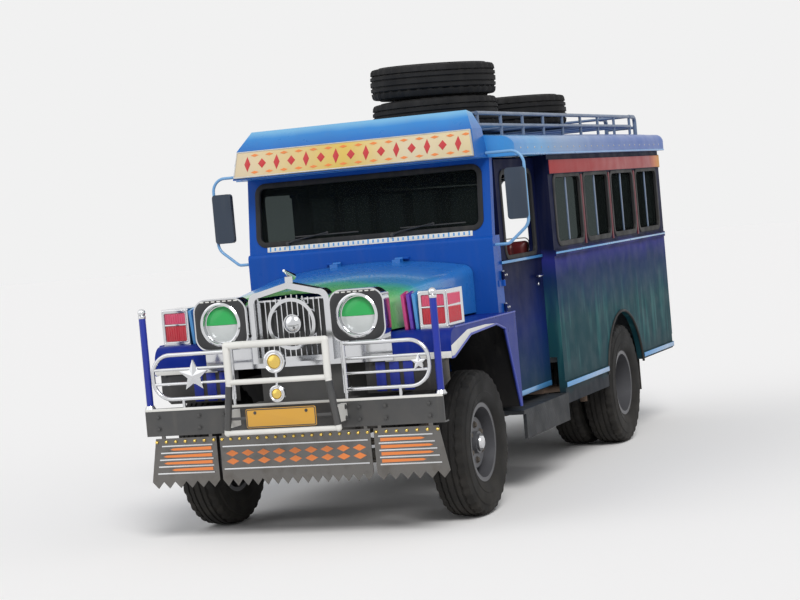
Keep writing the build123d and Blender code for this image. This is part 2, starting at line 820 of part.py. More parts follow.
keep(grille_shell, "grille_shell")

# Lamp housings: rounded square headlamps, side lamps on the fenders and tail lamps
side_lamp = ((692, 856), (-2700, -2450), (fender_z, 1285))
tail_lamp = ((772, 850), (body_rear_y, body_rear_y + 32), (810, 990))
with BuildPart() as lamp_housings:
    with BuildSketch(facing_front(-2800)):
        with Locations((lamp_x, lamp_z), (-lamp_x, lamp_z)):
            RectangleRounded(320, 285, 75)
    extrude(amount=85)
    with BuildSketch(facing_front(-2850)):
        with Locations((lamp_x, lamp_z), (-lamp_x, lamp_z)):
            Circle(104)
    extrude(amount=40, mode=Mode.SUBTRACT)
    for limits in mirrored(*side_lamp[0]):
        block(limits, side_lamp[1], side_lamp[2])
        lens_limits = (limits[0] + 14, limits[1] - 14)
        block(lens_limits, (-2700, -2690), (1100, 1265), mode=Mode.SUBTRACT)
    for limits in mirrored(*tail_lamp[0]):
        block(limits, tail_lamp[1], tail_lamp[2])
        lens_limits = (limits[0] + 10, limits[1] - 10)
        block(lens_limits, (body_rear_y + 24, body_rear_y + 32), (822, 978), mode=Mode.SUBTRACT)
keep(lamp_housings, "lamp_housings")

lens_r, lens_rim, lens_rise = 103.5, 8, 20
dome_r = (lens_r**2 + lens_rise**2) / (2 * lens_rise)
lens_middle = (lens_r / 2, lens_rim + lens_rise - dome_r + math.sqrt(dome_r**2 - lens_r**2 / 4))
with BuildPart() as round_lens:
    with BuildSketch(Plane.XZ):
        with BuildLine():
            Polyline((0, lens_rim + lens_rise), (0, 0), (lens_r, 0), (lens_r, lens_rim))
            ThreePointArc((lens_r, lens_rim), lens_middle, (0, lens_rim + lens_rise))
        make_face()
    revolve(axis=Axis.Z)
with BuildPart() as lamp_lenses:
    for x in (-lamp_x, lamp_x):
        with Locations(Location((x, -2850, lamp_z), (90, 0, 0))):
            add(round_lens.part)
    for limits in mirrored(*side_lamp[0]):
        block((limits[0] + 14, limits[1] - 14), (-2704, -2690), (1100, 1265))
    for limits in mirrored(*tail_lamp[0]):
        block((limits[0] + 10, limits[1] - 10), (body_rear_y + 24, body_rear_y + 36), (822, 978))
keep(lamp_lenses, "lamp_lenses")


# Front bumper: an open channel on plates at the rail ends, with an upright post at each end
bumper_low, bumper_high = 600, 750
post_x, post_y, post_top = 860, -2930, 1290
with BuildPart() as front_bumper:
    block((-bumper_half, bumper_half), (bumper_face_y, bumper_face_y + 8), (bumper_low, bumper_high))
    for z in (bumper_low, bumper_high - 8):
        block((-bumper_half, bumper_half), (bumper_face_y, bumper_back_y), (z, z + 8))
    for limits in mirrored(rail_inner, rail_outer):
        block(limits, (bumper_face_y, bumper_back_y), (bumper_low, bumper_high))
    for x in (-post_x, post_x):
        add(bar((x, post_y, bumper_high - 4), (x, post_y, post_top), 18))
        with Locations((x, post_y, post_top)):
            Sphere(19)
keep(front_bumper, "front_bumper")


# Centre guard: an upright frame ahead of the bumper, on splayed lower legs
guard_x, guard_r = 290, 20
guard_top, guard_mid, guard_low = 1085, 885, 612
foot_x = 325
with BuildPart() as guard_frame:
    add(bar((-guard_x, guard_y, guard_top), (guard_x, guard_y, guard_top), guard_r))
    add(bar((-guard_x, guard_y, guard_mid), (guard_x, guard_y, guard_mid), 15))
    add(bar((-foot_x, guard_y, guard_low), (foot_x, guard_y, guard_low), 14))
    for side in (1, -1):
        add(bar((side * guard_x, guard_y, guard_top), (side * guard_x, guard_y, guard_mid), guard_r))
        add(bar((side * guard_x, guard_y, guard_mid), (side * foot_x, guard_y, guard_low), 18))
        for z in (guard_top, guard_mid):
            with Locations((side * guard_x, guard_y, z)):
                Sphere(guard_r)
        with Locations((side * foot_x, guard_y, guard_low)):
            Sphere(18)
        # Pad that bolts the leg to the bumper
        block(sorted((side * 300, side * 330)), (guard_y, bumper_face_y), (640, 730))
keep(guard_frame, "guard_frame")


# Side loops on the bumper with a star on each, and a round ornament in the centre guard
loop_y, loop_r, loop_out = -2948, 11, 815
loop_low, loop_high = 800, 1045


def star_points(x, z, radius, count=5):
    """Corners of a regular star that stands on its plane with one point up."""
    points = []
    for i in range(2 * count):
        r = radius if i % 2 == 0 else radius * 0.42
        angle = math.pi / 2 + i * math.pi / count
        points.append((x + r * math.cos(angle), z + r * math.sin(angle)))
    return points


with BuildPart() as guard_loops:
    for side in (1, -1):
        add(
            tube(
                [
                    (side * 330, loop_y, loop_high),
                    (side * loop_out, loop_y, loop_high),
                    (side * loop_out, loop_y, loop_low),
                    (side * 330, loop_y, loop_low),
                ],
                loop_r,
                110,
            )
        )
        for z in (885, 965):
            add(bar((side * 330, loop_y, z), (side * (loop_out - 8), loop_y, z), 8))
        add(bar((side * 330, loop_y, loop_low - 16), (side * 330, loop_y, loop_high + 16), 14))
        # Legs that stand on the bumper
        for x in (330, 640):
            add(bar((side * x, loop_y, bumper_high), (side * x, loop_y, loop_low), 9))
    for x, z, radius in ((-560, 925, 88), (760, 925, 44)):
        with BuildSketch(facing_front(loop_y - 4)):
            Polygon(*star_points(x, z, radius), align=None)
        extrude(amount=10)
    # Round ornament that stands on the middle bar of the guard, and a drop under it
    with Locations(Location((-10, guard_y + 4, 985), (90, 0, 0))):
        Cylinder(60, 20)
    add(bar((-10, guard_y + 4, guard_mid + 15), (-10, guard_y + 4, 940), 7))
    add(bar((-10, guard_y + 4, guard_mid - 15), (-10, guard_y + 4, 845), 7))
    with Locations(Location((-10, guard_y + 4, 812), (90, 0, 0))):
        Cylinder(44, 20)
keep(guard_loops, "guard_loops")


# Apron under the bumper: three thin panels with toothed lower edges, on short hangers
apron_y, apron_t = -2948, 4
apron_top, apron_low, tooth_depth = 585, 345, 38
with BuildPart() as front_apron:
    # Inner and outer ends of each panel at the top and at the bottom, and its count of teeth
    for top_a, top_b, low_a, low_b, teeth in (
        (-445, 445, -445, 445, 15),
        (465, 835, 465, 880, 6),
        (-835, -465, -880, -465, 6),
    ):
        outline = [(top_a, apron_top), (low_a, apron_low)]
        pitch = (low_b - low_a) / teeth
        for i in range(teeth):
            outline.append((low_a + (i + 0.5) * pitch, apron_low - tooth_depth))
            outline.append((low_a + (i + 1) * pitch, apron_low))
        outline.append((top_b, apron_top))
        with BuildSketch(facing_front(apron_y + apron_t)):
            Polygon(*outline, align=None)
        extrude(amount=apron_t)
    for x in (420, 500, 790):
        for limits in mirrored(x - 10, x + 10):
            block(limits, (apron_y + apron_t - 1, apron_y + apron_t + 10), (540, bumper_low))
keep(front_apron, "front_apron")


# Seats: the front bench and the two long benches along the sides
with BuildPart() as seat_back:
    block((-728, 728), (-758, -665), (seat_box_z, 1490))
    fillet(seat_back.edges(), radius=20)
with BuildPart() as front_seat:
    block((-728, 728), (-1140, -762), (seat_box_z, 1080))
    fillet(front_seat.edges(), radius=20)
    add(seat_back.part)
keep(front_seat, "front_seat")

with BuildPart() as benches:
    block((bench_x - 8, body_in - 5), (-560, wall_rear_y - 20), (seat_z, seat_z + 75))
    block((body_in - 45, body_in), (-560, wall_rear_y - 20), (seat_z + 80, 1320))
    mirror(about=Plane.YZ)
keep(benches, "benches")


# Steps: side boards with deep valances under the doors, the rear step and the tail bumpers
board_low, board_high, valance_low = 476, 500, 330
with BuildPart() as steps:
    for limits in mirrored(620, 885):
        block(limits, (-1635, door_rear_y), (board_low, board_high))
    for limits in mirrored(865, 885):
        block(limits, (-1600, door_rear_y), (valance_low, board_high))
    for y in (-1480, -860):
        for limits in mirrored(rail_outer, 640):
            block(limits, (y - 20, y + 20), (board_low, board_low + 18))
        for limits in mirrored(rail_outer, rail_outer + 18):
            block(limits, (y - 20, y + 20), (board_low, rail_high - 20))
    block((-288, 288), (wall_rear_y - 8, tail_y), (430, 455))
    for limits in mirrored(266, 288):
        block(limits, (wall_rear_y - 8, wall_rear_y + 48), (450, 645))
    for limits in mirrored(400, 830):
        block(limits, (body_rear_y + 32, body_rear_y + 92), (560, 680))
    for limits in mirrored(rail_outer, 410):
        block(limits, (1990, body_rear_y + 92), (572, 612))
keep(steps, "steps")


# Mirrors on bent tubes from the scuttle out and up to the roof
mirror_y = -1590
with BuildPart() as mirrors:
    add(
        tube(
            [
                (cab_half, mirror_y, 1475),
                (870, mirror_y, 1475),
                (1000, mirror_y, 1580),
                (1000, mirror_y, 2012),
                (773, mirror_y, 2012),
            ],
            9,
            [40, 80, 80],
        )
    )
    block((888, 1000), (mirror_y - 14, mirror_y + 14), (1670, 1860))
    mirror(about=Plane.YZ)
keep(mirrors, "mirrors")


# Steering wheel, built upright about Z and then laid onto the column
wheel_rim_r, wheel_tube_r = 190, 13
with BuildPart() as upright_wheel:
    with BuildSketch(Plane.XZ):
        with Locations((wheel_rim_r, 0)):
            Circle(wheel_tube_r)
    revolve(axis=Axis.Z)
    with Locations((0, 0, -14)):
        Cylinder(36, 34)
    with Locations((0, 0, -64)):
        Cylinder(12, 100)
    with PolarLocations(0, 3, start_angle=90):
        with Locations(Location((wheel_rim_r / 2, 0, 0), (0, 90, 0))):
            Cylinder(9, wheel_rim_r)
with BuildPart() as steering_wheel:
    lean = math.degrees(math.acos(column_axis.Z))
    with Locations(Location(column_high + column_axis * 45, (-lean, 0, 0))):
        add(upright_wheel.part)
keep(steering_wheel, "steering_wheel")


# Steering knuckle: two ears and a pin about the axle boss, spindle, brake plate and rear arm
arm_length, arm_pin_r = 180, 10
arm_y = front_axle_y + arm_length
web_in, web_out = king_pin_x + 42, king_pin_x + 58


def knuckle(outward):
    """One steering knuckle. outward is 1 on the driver's side and -1 on the other."""
    with BuildPart() as carrier:
        with Locations((king_pin_x, front_axle_y, wheel_r)):
            Cylinder(king_pin_r, 168)
        for z in (321, 465):
            block((king_pin_x - 30, king_pin_x + 50), (front_axle_y - 30, front_axle_y + 30), (z, z + 24))
        block((web_in, web_out), (front_axle_y - 34, front_axle_y + 34), (321, 489))
        with Locations(Location((web_out + 2, front_axle_y, wheel_r), (0, 90, 0))):
            Cylinder(145, 8)
        with Locations(Location((web_out + 64, front_axle_y, wheel_r), (0, 90, 0))):
            Cylinder(spindle_r, 128)
        # Arm to the tie rod
        with BuildSketch(Plane.XY.offset(372)):
            Polygon(
                (web_in, front_axle_y - 20),
                (web_out, front_axle_y - 20),
                (web_out, front_axle_y + 60),
                (king_pin_x + 16, arm_y),
                (king_pin_x - 16, arm_y),
                (web_in, front_axle_y + 40),
                align=None,
            )
            with Locations((king_pin_x, arm_y)):
                Circle(18)
        extrude(amount=18)
        with Locations((king_pin_x, arm_y, 404)):
            Cylinder(arm_pin_r, 40)
        if outward < 0:
            mirror(about=Plane.YZ, mode=Mode.REPLACE)
    return carrier


knuckle_left = knuckle(1)
keep(knuckle_left, "knuckle_left")
knuckle_right = knuckle(-1)
keep(knuckle_right, "knuckle_right")

with BuildPart() as tie_rod:
    add(bar((-king_pin_x, arm_y, 407), (king_pin_x, arm_y, 407), 12))
    for x in (-king_pin_x, king_pin_x):
        with Locations((x, arm_y, 407)):
            Cylinder(20, 22)
            Cylinder(arm_pin_r + running_gap, 30, mode=Mode.SUBTRACT)
keep(tie_rod, "tie_rod")


# Wheels: pressed rims with hand holes, hub and drum, and the tyres on them
barrel_in, barrel_out, flange_r = 196, 204.7, 220
barrel_half, flange_w = 75, 8
hole_ring_r, hole_r, hole_count = 167, 19, 6


def barrel(centre):
    """Section of one rim barrel with its two flanges, as corner lists in X and radius."""
    low, high = centre - barrel_half, centre + barrel_half
    return (
        ((low, high), (barrel_in, barrel_out)),
        ((low - flange_w, low), (barrel_in, flange_r)),
        ((high, high + flange_w), (barrel_in, flange_r)),
    )


def rim(axle_y, hole_x, outward, boxes, discs):
    """A rim turned about the axle: boxes and slanted discs in X and radius, then hand holes."""
    with BuildPart() as turned:
        with BuildSketch(Plane.XZ.offset(-axle_y)):
            for (x_low, x_high), (r_low, r_high) in boxes:
                with Locations(((x_low + x_high) / 2, wheel_r + (r_low + r_high) / 2)):
                    Rectangle(x_high - x_low, r_high - r_low)
            for corners in discs:
                Polygon(*[(x, wheel_r + r) for x, r in corners], align=None)
        revolve(axis=Axis((0, axle_y, wheel_r), (1, 0, 0)))
        hole_plane = Plane(origin=(hole_x, axle_y, wheel_r), z_dir=(1, 0, 0))
        with BuildSketch(hole_plane):
            with PolarLocations(hole_ring_r, hole_count):
                Circle(hole_r)
        extrude(amount=60, both=True, mode=Mode.SUBTRACT)
        if outward < 0:
            mirror(about=Plane.YZ, mode=Mode.REPLACE)
    return turned


front_boxes = (
    *barrel(front_wheel_x),
    ((front_wheel_x - 64, front_wheel_x + 60), (spindle_r + running_gap, 62)),
    ((front_wheel_x + 60, front_wheel_x + 72), (0, 48)),
    ((front_wheel_x - 60, front_wheel_x + 36), (128, 138)),
)
front_discs = (
    (
        (front_wheel_x - 34, 197),
        (front_wheel_x - 21, 197),
        (front_wheel_x + 38, 140),
        (front_wheel_x + 38, 50),
        (front_wheel_x + 27, 50),
        (front_wheel_x + 27, 134),
    ),
)
rear_boxes = (
    *barrel(rear_inner_x),
    *barrel(rear_outer_x),
    ((twin_x - 68, twin_x + 116), (rear_spindle_r + running_gap, 74)),
    ((twin_x + 116, twin_x + 130), (0, 60)),
    ((twin_x - 184, twin_x - 5), (128, 138)),
    ((twin_x - 15, twin_x - 5), (70, 138)),
)
rear_discs = tuple(
    (
        (twin_x + side * 62, 197),
        (twin_x + side * 49, 197),
        (twin_x, 144),
        (twin_x, 70),
        (twin_x + side * 10, 70),
        (twin_x + side * 10, 138),
    )
    for side in (-1, 1)
)


def tyres(axle_y, xs):
    """Road tyres standing upright at the given places across the vehicle."""
    with BuildPart() as shod:
        for x in xs:
            with Locations(Location((x, axle_y, wheel_r), (0, 90, 0))):
                add(tyre_shape)
    return shod


rim_front_left = rim(front_axle_y, front_wheel_x, 1, front_boxes, front_discs)
keep(rim_front_left, "rim_front_left")
rim_front_right = rim(front_axle_y, front_wheel_x, -1, front_boxes, front_discs)
keep(rim_front_right, "rim_front_right")
rims_rear_left = rim(rear_axle_y, twin_x, 1, rear_boxes, rear_discs)
keep(rims_rear_left, "rims_rear_left")
rims_rear_right = rim(rear_axle_y, twin_x, -1, rear_boxes, rear_discs)
keep(rims_rear_right, "rims_rear_right")
tyre_front_left = tyres(front_axle_y, (front_wheel_x,))
keep(tyre_front_left, "tyre_front_left")
tyre_front_right = tyres(front_axle_y, (-front_wheel_x,))
keep(tyre_front_right, "tyre_front_right")
tyres_rear_left = tyres(rear_axle_y, (rear_inner_x, rear_outer_x))
keep(tyres_rear_left, "tyres_rear_left")
tyres_rear_right = tyres(rear_axle_y, (-rear_inner_x, -rear_outer_x))
keep(tyres_rear_right, "tyres_rear_right")
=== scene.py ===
"""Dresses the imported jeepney: paint, glass, rubber, lamps, bright trim and padded seats."""

import json
import logging
import math
from collections.abc import Mapping, Sequence
from dataclasses import dataclass, field
from enum import Enum

import bmesh
import bpy
from mathutils import Matrix, Vector

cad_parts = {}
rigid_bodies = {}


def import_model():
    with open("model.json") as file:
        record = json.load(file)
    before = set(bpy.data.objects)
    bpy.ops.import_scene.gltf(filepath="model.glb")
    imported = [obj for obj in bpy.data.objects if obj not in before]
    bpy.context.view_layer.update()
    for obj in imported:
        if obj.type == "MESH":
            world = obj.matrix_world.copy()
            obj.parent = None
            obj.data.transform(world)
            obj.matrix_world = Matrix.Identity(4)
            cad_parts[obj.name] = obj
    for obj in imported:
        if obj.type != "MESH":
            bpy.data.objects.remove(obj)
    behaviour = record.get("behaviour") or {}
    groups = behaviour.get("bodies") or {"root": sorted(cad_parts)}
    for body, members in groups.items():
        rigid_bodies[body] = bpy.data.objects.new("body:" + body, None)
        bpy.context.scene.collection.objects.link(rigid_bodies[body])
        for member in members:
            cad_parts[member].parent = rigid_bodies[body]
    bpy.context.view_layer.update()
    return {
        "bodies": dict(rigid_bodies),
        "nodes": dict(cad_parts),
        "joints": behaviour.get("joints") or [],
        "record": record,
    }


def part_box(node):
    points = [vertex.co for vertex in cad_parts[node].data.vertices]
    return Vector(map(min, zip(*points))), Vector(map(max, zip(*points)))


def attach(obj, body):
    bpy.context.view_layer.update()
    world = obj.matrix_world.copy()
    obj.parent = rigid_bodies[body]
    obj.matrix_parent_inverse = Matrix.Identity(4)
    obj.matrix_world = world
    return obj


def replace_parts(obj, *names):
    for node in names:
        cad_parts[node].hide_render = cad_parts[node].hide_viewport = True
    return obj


LOG = logging.getLogger("jeepney")
Flat = tuple[float, float]
Point = tuple[float, float, float]
Colour = Point
Limits = tuple[float, float, float, float]
IDENTITY = Matrix.Identity(4)
SIDES = ((1, "left"), (-1, "right"))
BODY = "jeepney_body"


class Slot(Enum):
    """The record's material slots that finishes name."""

    CHASSIS = "chassis_black"
    BLUE = "body_blue"
    LIGHT_BLUE = "light_blue"
    SIGN = "sign_yellow"
    TYRE = "tyre"
    BRIGHT = "bright_metal"
    LAMP = "lamp_glass"
    BUMPER = "bumper_grey"
    WHITE = "white_paint"
    STAINLESS = "stainless"
    VINYL = "seat_vinyl"
    PLASTIC = "wheel_plastic"


@dataclass(frozen=True)
class Plan:
    """Driving dimensions of the frame that its boxes don't give, in metres."""

    wheel_r: float = 0.405
    tyre_half: float = 0.107
    front_axle_y: float = -1.98
    rear_axle_y: float = 1.05
    front_xs: tuple[float, ...] = (0.76,)
    rear_xs: tuple[float, ...] = (0.515, 0.755)
    window: Flat = (0.58, 0.42)
    window_z: float = 1.64
    window_y0: float = -0.016
    window_pitch: float = 0.672
    window_count: int = 4
    door_window: Limits = (-0.8115, 1.64, 0.59, 0.5)
    rear_window: Limits = (0.625, 1.64, 0.35, 0.42)
    window_corner: float = 0.05
    screen_foot: Point = (0.0, -1.32, 1.53)
    screen_rake: float = 8.0
    screen_up: float = 0.235
    screen: Flat = (1.42, 0.35)
    screen_corner: float = 0.045
    lamp_x: float = 0.405
    lamp_z: float = 1.19
    lamp_face_y: float = -2.585
    lamp_r: float = 0.1035
    column_top: Point = (0.37, -0.95, 1.33)
    column_axis: Point = (0.0, 0.8493, 0.528)

    def windows(self) -> list[float]:
        """Places along the body of the side windows' centres."""
        return [self.window_y0 + i * self.window_pitch for i in range(self.window_count)]

    def wheels(self) -> list[tuple[str, int, str, float]]:
        """End, side, name and axle place of each wheel or pair of wheels."""
        ends = (("front", self.front_axle_y), ("rear", self.rear_axle_y))
        return [(end, side, f"{end}_{name}", y) for end, y in ends for side, name in SIDES]


PLAN = Plan()


class Graph:
    """A short way to write a shader tree."""

    def __init__(self, tree: bpy.types.NodeTree) -> None:
        """Keep the tree that nodes are added to."""
        self.tree = tree

    def add(self, kind: str, inputs: Mapping | None = None, **settings: object) -> bpy.types.Node:
        """Add a node.

        Args:
            kind: The node's type without its ShaderNode prefix.
            inputs: Values or sockets for its inputs, by name or number.
            settings: The node's own properties.

        Returns:
            The new node.
        """
        node = self.tree.nodes.new("ShaderNode" + kind)
        for key, value in settings.items():
            setattr(node, key, value)
        for key, value in (inputs or {}).items():
            self.feed(node.inputs[key], value)
        return node

    def feed(self, socket: bpy.types.NodeSocket, value: object) -> None:
        """Link a socket to an input, or set the input's value; a colour gets its alpha."""
        if isinstance(value, bpy.types.NodeSocket):
            self.tree.links.new(value, socket)
        elif socket.type == "RGBA" and len(value) == 3:
            socket.default_value = (*value, 1.0)
        else:
            socket.default_value = value

    def place(self, scale: Point = (1.0, 1.0, 1.0)) -> bpy.types.NodeSocket:
        """The place on the piece in metres, stretched."""
        here = self.add("TexCoord").outputs["Object"]
        return self.add("Mapping", {"Vector": here, "Scale": scale}).outputs[0]

    def axes(self) -> bpy.types.NodeOutputs:
        """The place on the piece along X, Y and Z."""
        return self.add("SeparateXYZ", {0: self.place()}).outputs

    def mix(self, share: object, low: object, high: object) -> bpy.types.NodeSocket:
        """Mix two colours by a share."""
        return self.add("Mix", {0: share, 6: low, 7: high}, data_type="RGBA").outputs[2]

    def ramp(
        self, value: object, low: object, high: float, low_to: float = 0.0, high_to: float = 1.0
    ) -> bpy.types.NodeSocket:
        """Turn a range of values into another range, held at both ends."""
        inputs = {"Value": value, "From Min": low, "From Max": high, "To Min": low_to, "To Max": high_to}
        return self.add("MapRange", inputs).outputs[0]

    def maths(self, operation: str, first: object, second: object = 0.0) -> bpy.types.NodeSocket:
        """One step of arithmetic."""
        return self.add("Math", {0: first, 1: second}, operation=operation).outputs[0]

    def times(self, first: object, second: object) -> bpy.types.NodeSocket:
        """The product of two values."""
        return self.maths("MULTIPLY", first, second)

    def noise(self, size: float, detail: float = 3.0, stretch: Point = (1.0, 1.0, 1.0)) -> object:
        """A cloudy value about as large as size, in metres."""
        where = self.place(stretch)
        return self.add("TexNoise", {"Vector": where, "Scale": 1 / size, "Detail": detail}).outputs[0]


def new_group(
    name: str, inputs: Mapping[str, object], outputs: Mapping[str, str]
) -> tuple[Graph, object, object]:
    """Start a shader group.

    Args:
        name: The group's name.
        inputs: Default of each input; a float or a colour.
        outputs: Kind of each output, Float or Color.

    Returns:
        The graph, the sockets of the group's inputs and those of its outputs.
    """
    tree = bpy.data.node_groups.new(name, "ShaderNodeTree")
    for title, value in inputs.items():
        kind = "NodeSocketFloat" if isinstance(value, float) else "NodeSocketColor"
        socket = tree.interface.new_socket(name=title, in_out="INPUT", socket_type=kind)
        socket.default_value = value if isinstance(value, float) else (*value, 1.0)
    for title, kind in outputs.items():
        tree.interface.new_socket(name=title, in_out="OUTPUT", socket_type="NodeSocket" + kind)
    given, out = tree.nodes.new("NodeGroupInput"), tree.nodes.new("NodeGroupOutput")
    return Graph(tree), given.outputs, out.inputs


def make_grime() -> None:
    """Make the group that lays road dust low down, rain streaks and faint mottling over a colour."""
    road = (0.23, 0.2, 0.16)
    defaults = {"Colour": (0.5, 0.5, 0.5), "Dust": road, "Amount": 0.3, "Top": 1.0, "Mottle": 0.1}
    graph, given, out = new_group("Grime", defaults, {"Colour": "Color", "Mask": "Float"})
    low = graph.ramp(graph.axes()[2], given["Top"], 0.1)
    cloud = graph.ramp(graph.ramp(graph.noise(0.09, 6.0), 0.38, 0.68), 0, 1, 0.45, 1.0)
    streak = graph.ramp(graph.noise(0.05, 3.0, (1.0, 1.0, 0.09)), 0.52, 0.78, 0.0, 0.55)
    mask = graph.times(graph.maths("MAXIMUM", graph.times(low, cloud), streak), given["Amount"])
    shade = graph.ramp(graph.noise(0.35, 2.0), 0.3, 0.7)
    darker = graph.add("HueSaturation", {"Color": given["Colour"], "Value": 0.7, "Saturation": 0.95})
    mottled = graph.mix(graph.times(shade, given["Mottle"]), given["Colour"], darker.outputs[0])
    graph.feed(out["Colour"], graph.mix(mask, mottled, given["Dust"]))
    graph.feed(out["Mask"], mask)


def make_grain() -> None:
    """Make the group that gives the fine height of a surface: soft pebbles over a slow ripple."""
    graph, given, out = new_group("Grain", {"Fineness": 400.0, "Ripple": 0.3}, {"Height": "Float"})
    pebbles = {"Vector": graph.place(), "Scale": given["Fineness"], "Detail": 2.0}
    slow = graph.times(graph.noise(0.05, 2.0), given["Ripple"])
    graph.feed(out["Height"], graph.maths("ADD", graph.add("TexNoise", pebbles).outputs[0], slow))


@dataclass(frozen=True)
class Finish:
    """A surface finish: colour, gloss, grain, how it ages, and a record slot that it names."""

    name: str
    colour: Colour
    roughness: float = 0.4
    metallic: float = 0.0
    slot: Slot | None = None
    coat: float = 0.0
    grain: float = 0.05
    fineness: float = 400.0
    ripple: float = 0.3
    dust: float = 0.3
    dust_top: float = 1.0
    mottle: float = 0.25
    sheen: float = 0.0
    specular: float = 0.5

    def pattern(self, graph: Graph) -> object:
        """The clean colour over the surface."""
        return self.colour

    def height(self, graph: Graph) -> object:
        """The fine relief of the surface."""
        values = {"Fineness": self.fineness, "Ripple": self.ripple}
        return graph.add("Group", values, node_tree=bpy.data.node_groups["Grain"]).outputs[0]

    def constants(self) -> dict[str, float]:
        """The values of the shader that are the same all over."""
        return {
            "Metallic": self.metallic, "Coat Weight": self.coat, "Coat Roughness": 0.08,
            "Sheen Weight": self.sheen, "Specular IOR Level": self.specular,
        }

    def build(self) -> bpy.types.Material:
        """Make the material, or return the one made before."""
        known = bpy.data.materials.get(self.name)
        if known:
            return known
        material = bpy.data.materials.new(self.name)
        material.use_nodes = True
        graph = Graph(material.node_tree)
        shader = material.node_tree.nodes["Principled BSDF"].inputs
        for title, value in self.constants().items():
            graph.feed(shader[title], value)
        ageing = {"Amount": self.dust, "Top": self.dust_top, "Mottle": self.mottle}
        aged = graph.add("Group", ageing, node_tree=bpy.data.node_groups["Grime"])
        graph.feed(aged.inputs["Colour"], self.pattern(graph))
        graph.feed(shader["Base Color"], aged.outputs["Colour"])
        worn = graph.ramp(graph.noise(0.12, 5.0), 0.35, 0.7, self.roughness * 0.85, self.roughness * 1.2)
        graph.feed(shader["Roughness"], graph.maths("ADD", worn, graph.times(aged.outputs["Mask"], 0.5)))
        bump = graph.add("Bump", {"Strength": self.grain, "Distance": 0.001, "Height": self.height(graph)})
        graph.feed(shader["Normal"], bump.outputs[0])
        return material


class Axis(Enum):
    """A direction of the vehicle."""

    X = 0
    Y = 1
    Z = 2


@dataclass(frozen=True)
class BlendPaint(Finish):
    """Sprayed paint that fades through several colours along one axis.

    Each stop is a place along the axis in metres and the colour there.
    """

    axis: Axis = Axis.Z
    stops: tuple[tuple[float, Colour], ...] = ()
    waver: float = 0.06
    lean: float = 0.0

    def pattern(self, graph: Graph) -> object:
        """The colours mixed one after another, with a slightly wavy edge."""
        parts = graph.axes()
        wave = graph.ramp(graph.noise(0.25, 2.0), 0.3, 0.7, -self.waver, self.waver)
        along = graph.maths("ADD", parts[self.axis.value], wave)
        if self.lean:
            along = graph.maths("ADD", along, graph.times(parts[Axis.Z.value], self.lean))
        mixed: object = self.stops[0][1]
        for (low, _), (high, colour) in zip(self.stops, self.stops[1:]):
            mixed = graph.mix(graph.ramp(along, low, high), mixed, colour)
        return mixed


@dataclass(frozen=True)
class StreakPaint(BlendPaint):
    """Faded paint with pale airbrushed streaks that run down the lower side."""

    streak: Colour = (0.045, 0.17, 0.17)
    reach: Flat = (0.58, 1.18)

    def pattern(self, graph: Graph) -> object:
        """The fade with upright streaks over a part of its height."""
        base = super().pattern(graph)
        height = graph.axes()[2]
        low, high = self.reach
        inside = graph.times(graph.ramp(height, low, low + 0.12), graph.ramp(height, high, high - 0.25))
        lines = graph.ramp(graph.noise(0.07, 3.0, (1.0, 1.0, 0.1)), 0.5, 0.72)
        return graph.mix(graph.times(lines, graph.times(inside, 0.65)), base, self.streak)


@dataclass(frozen=True)
class FenderPaint(Finish):
    """Enamel outside and black underseal on the faces that look into the wheel well."""

    skin_x: float = 0.874
    roll_centre: Flat = (-2.4, 1.0)
    roll_r: float = 0.073
    tail_y: float = -1.346
    underseal: Colour = (0.014, 0.014, 0.015)

    def pattern(self, graph: Graph) -> object:
        """The underseal inside the skin, whose front rolls down round a line across."""
        across, along, height = graph.axes()
        ahead = graph.maths("MAXIMUM", graph.maths("SUBTRACT", self.roll_centre[0], along), 0.0)
        above = graph.maths("MAXIMUM", graph.maths("SUBTRACT", height, self.roll_centre[1]), 0.0)
        reach = graph.maths("SQRT", graph.maths("ADD", *(graph.times(gap, gap) for gap in (ahead, above))))
        inside = graph.maths("LESS_THAN", graph.maths("ABSOLUTE", across), self.skin_x)
        for value, limit in ((reach, self.roll_r), (along, self.tail_y)):
            inside = graph.times(inside, graph.maths("LESS_THAN", value, limit))
        return graph.mix(inside, self.colour, self.underseal)


@dataclass(frozen=True)
class Brushed(Finish):
    """Metal rubbed in one direction, with faint scratches that follow it."""

    stretch: Point = (0.02, 1.0, 1.0)
    stain: Colour = (0.25, 0.22, 0.18)

    def pattern(self, graph: Graph) -> object:
        """Bright metal with duller stained patches."""
        return graph.mix(graph.ramp(graph.noise(0.08, 5.0), 0.5, 0.75, 0.0, 0.5), self.colour, self.stain)

    def height(self, graph: Graph) -> object:
        """Long fine scratches."""
        return graph.noise(0.0016, 2.0, self.stretch)


@dataclass(frozen=True)
class Glass(Finish):
    """Clear or tinted glass with a little dust."""

    transmission: float = 1.0
    ior: float = 1.46

    def constants(self) -> dict[str, float]:
        """The plain values, with those that let the light through."""
        return super().constants() | {"Transmission Weight": self.transmission, "IOR": self.ior}


@dataclass(frozen=True)
class Rubber(Finish):
    """Tyre rubber under a thin cloudy bloom."""

    bloom: Colour = (0.022, 0.021, 0.02)

    def pattern(self, graph: Graph) -> object:
        """Black rubber with paler patches."""
        return graph.mix(graph.ramp(graph.noise(0.06, 6.0), 0.35, 0.75, 0.0, 0.7), self.colour, self.bloom)


@dataclass(frozen=True)
class Chequer(Finish):
    """Floor plate with small raised lozenges."""

    pitch: float = 0.03

    def height(self, graph: Graph) -> object:
        """Crossed ridges that leave a row of lozenges."""
        size = 1 / self.pitch
        waves = []
        for turn in (1.0, -1.0):
            inputs = {"Vector": graph.place((size, size * turn, size)), "Scale": 0.5}
            waves.append(graph.add("TexWave", inputs, bands_direction="DIAGONAL").outputs[1])
        return graph.ramp(graph.times(*waves), 0.55, 0.7)


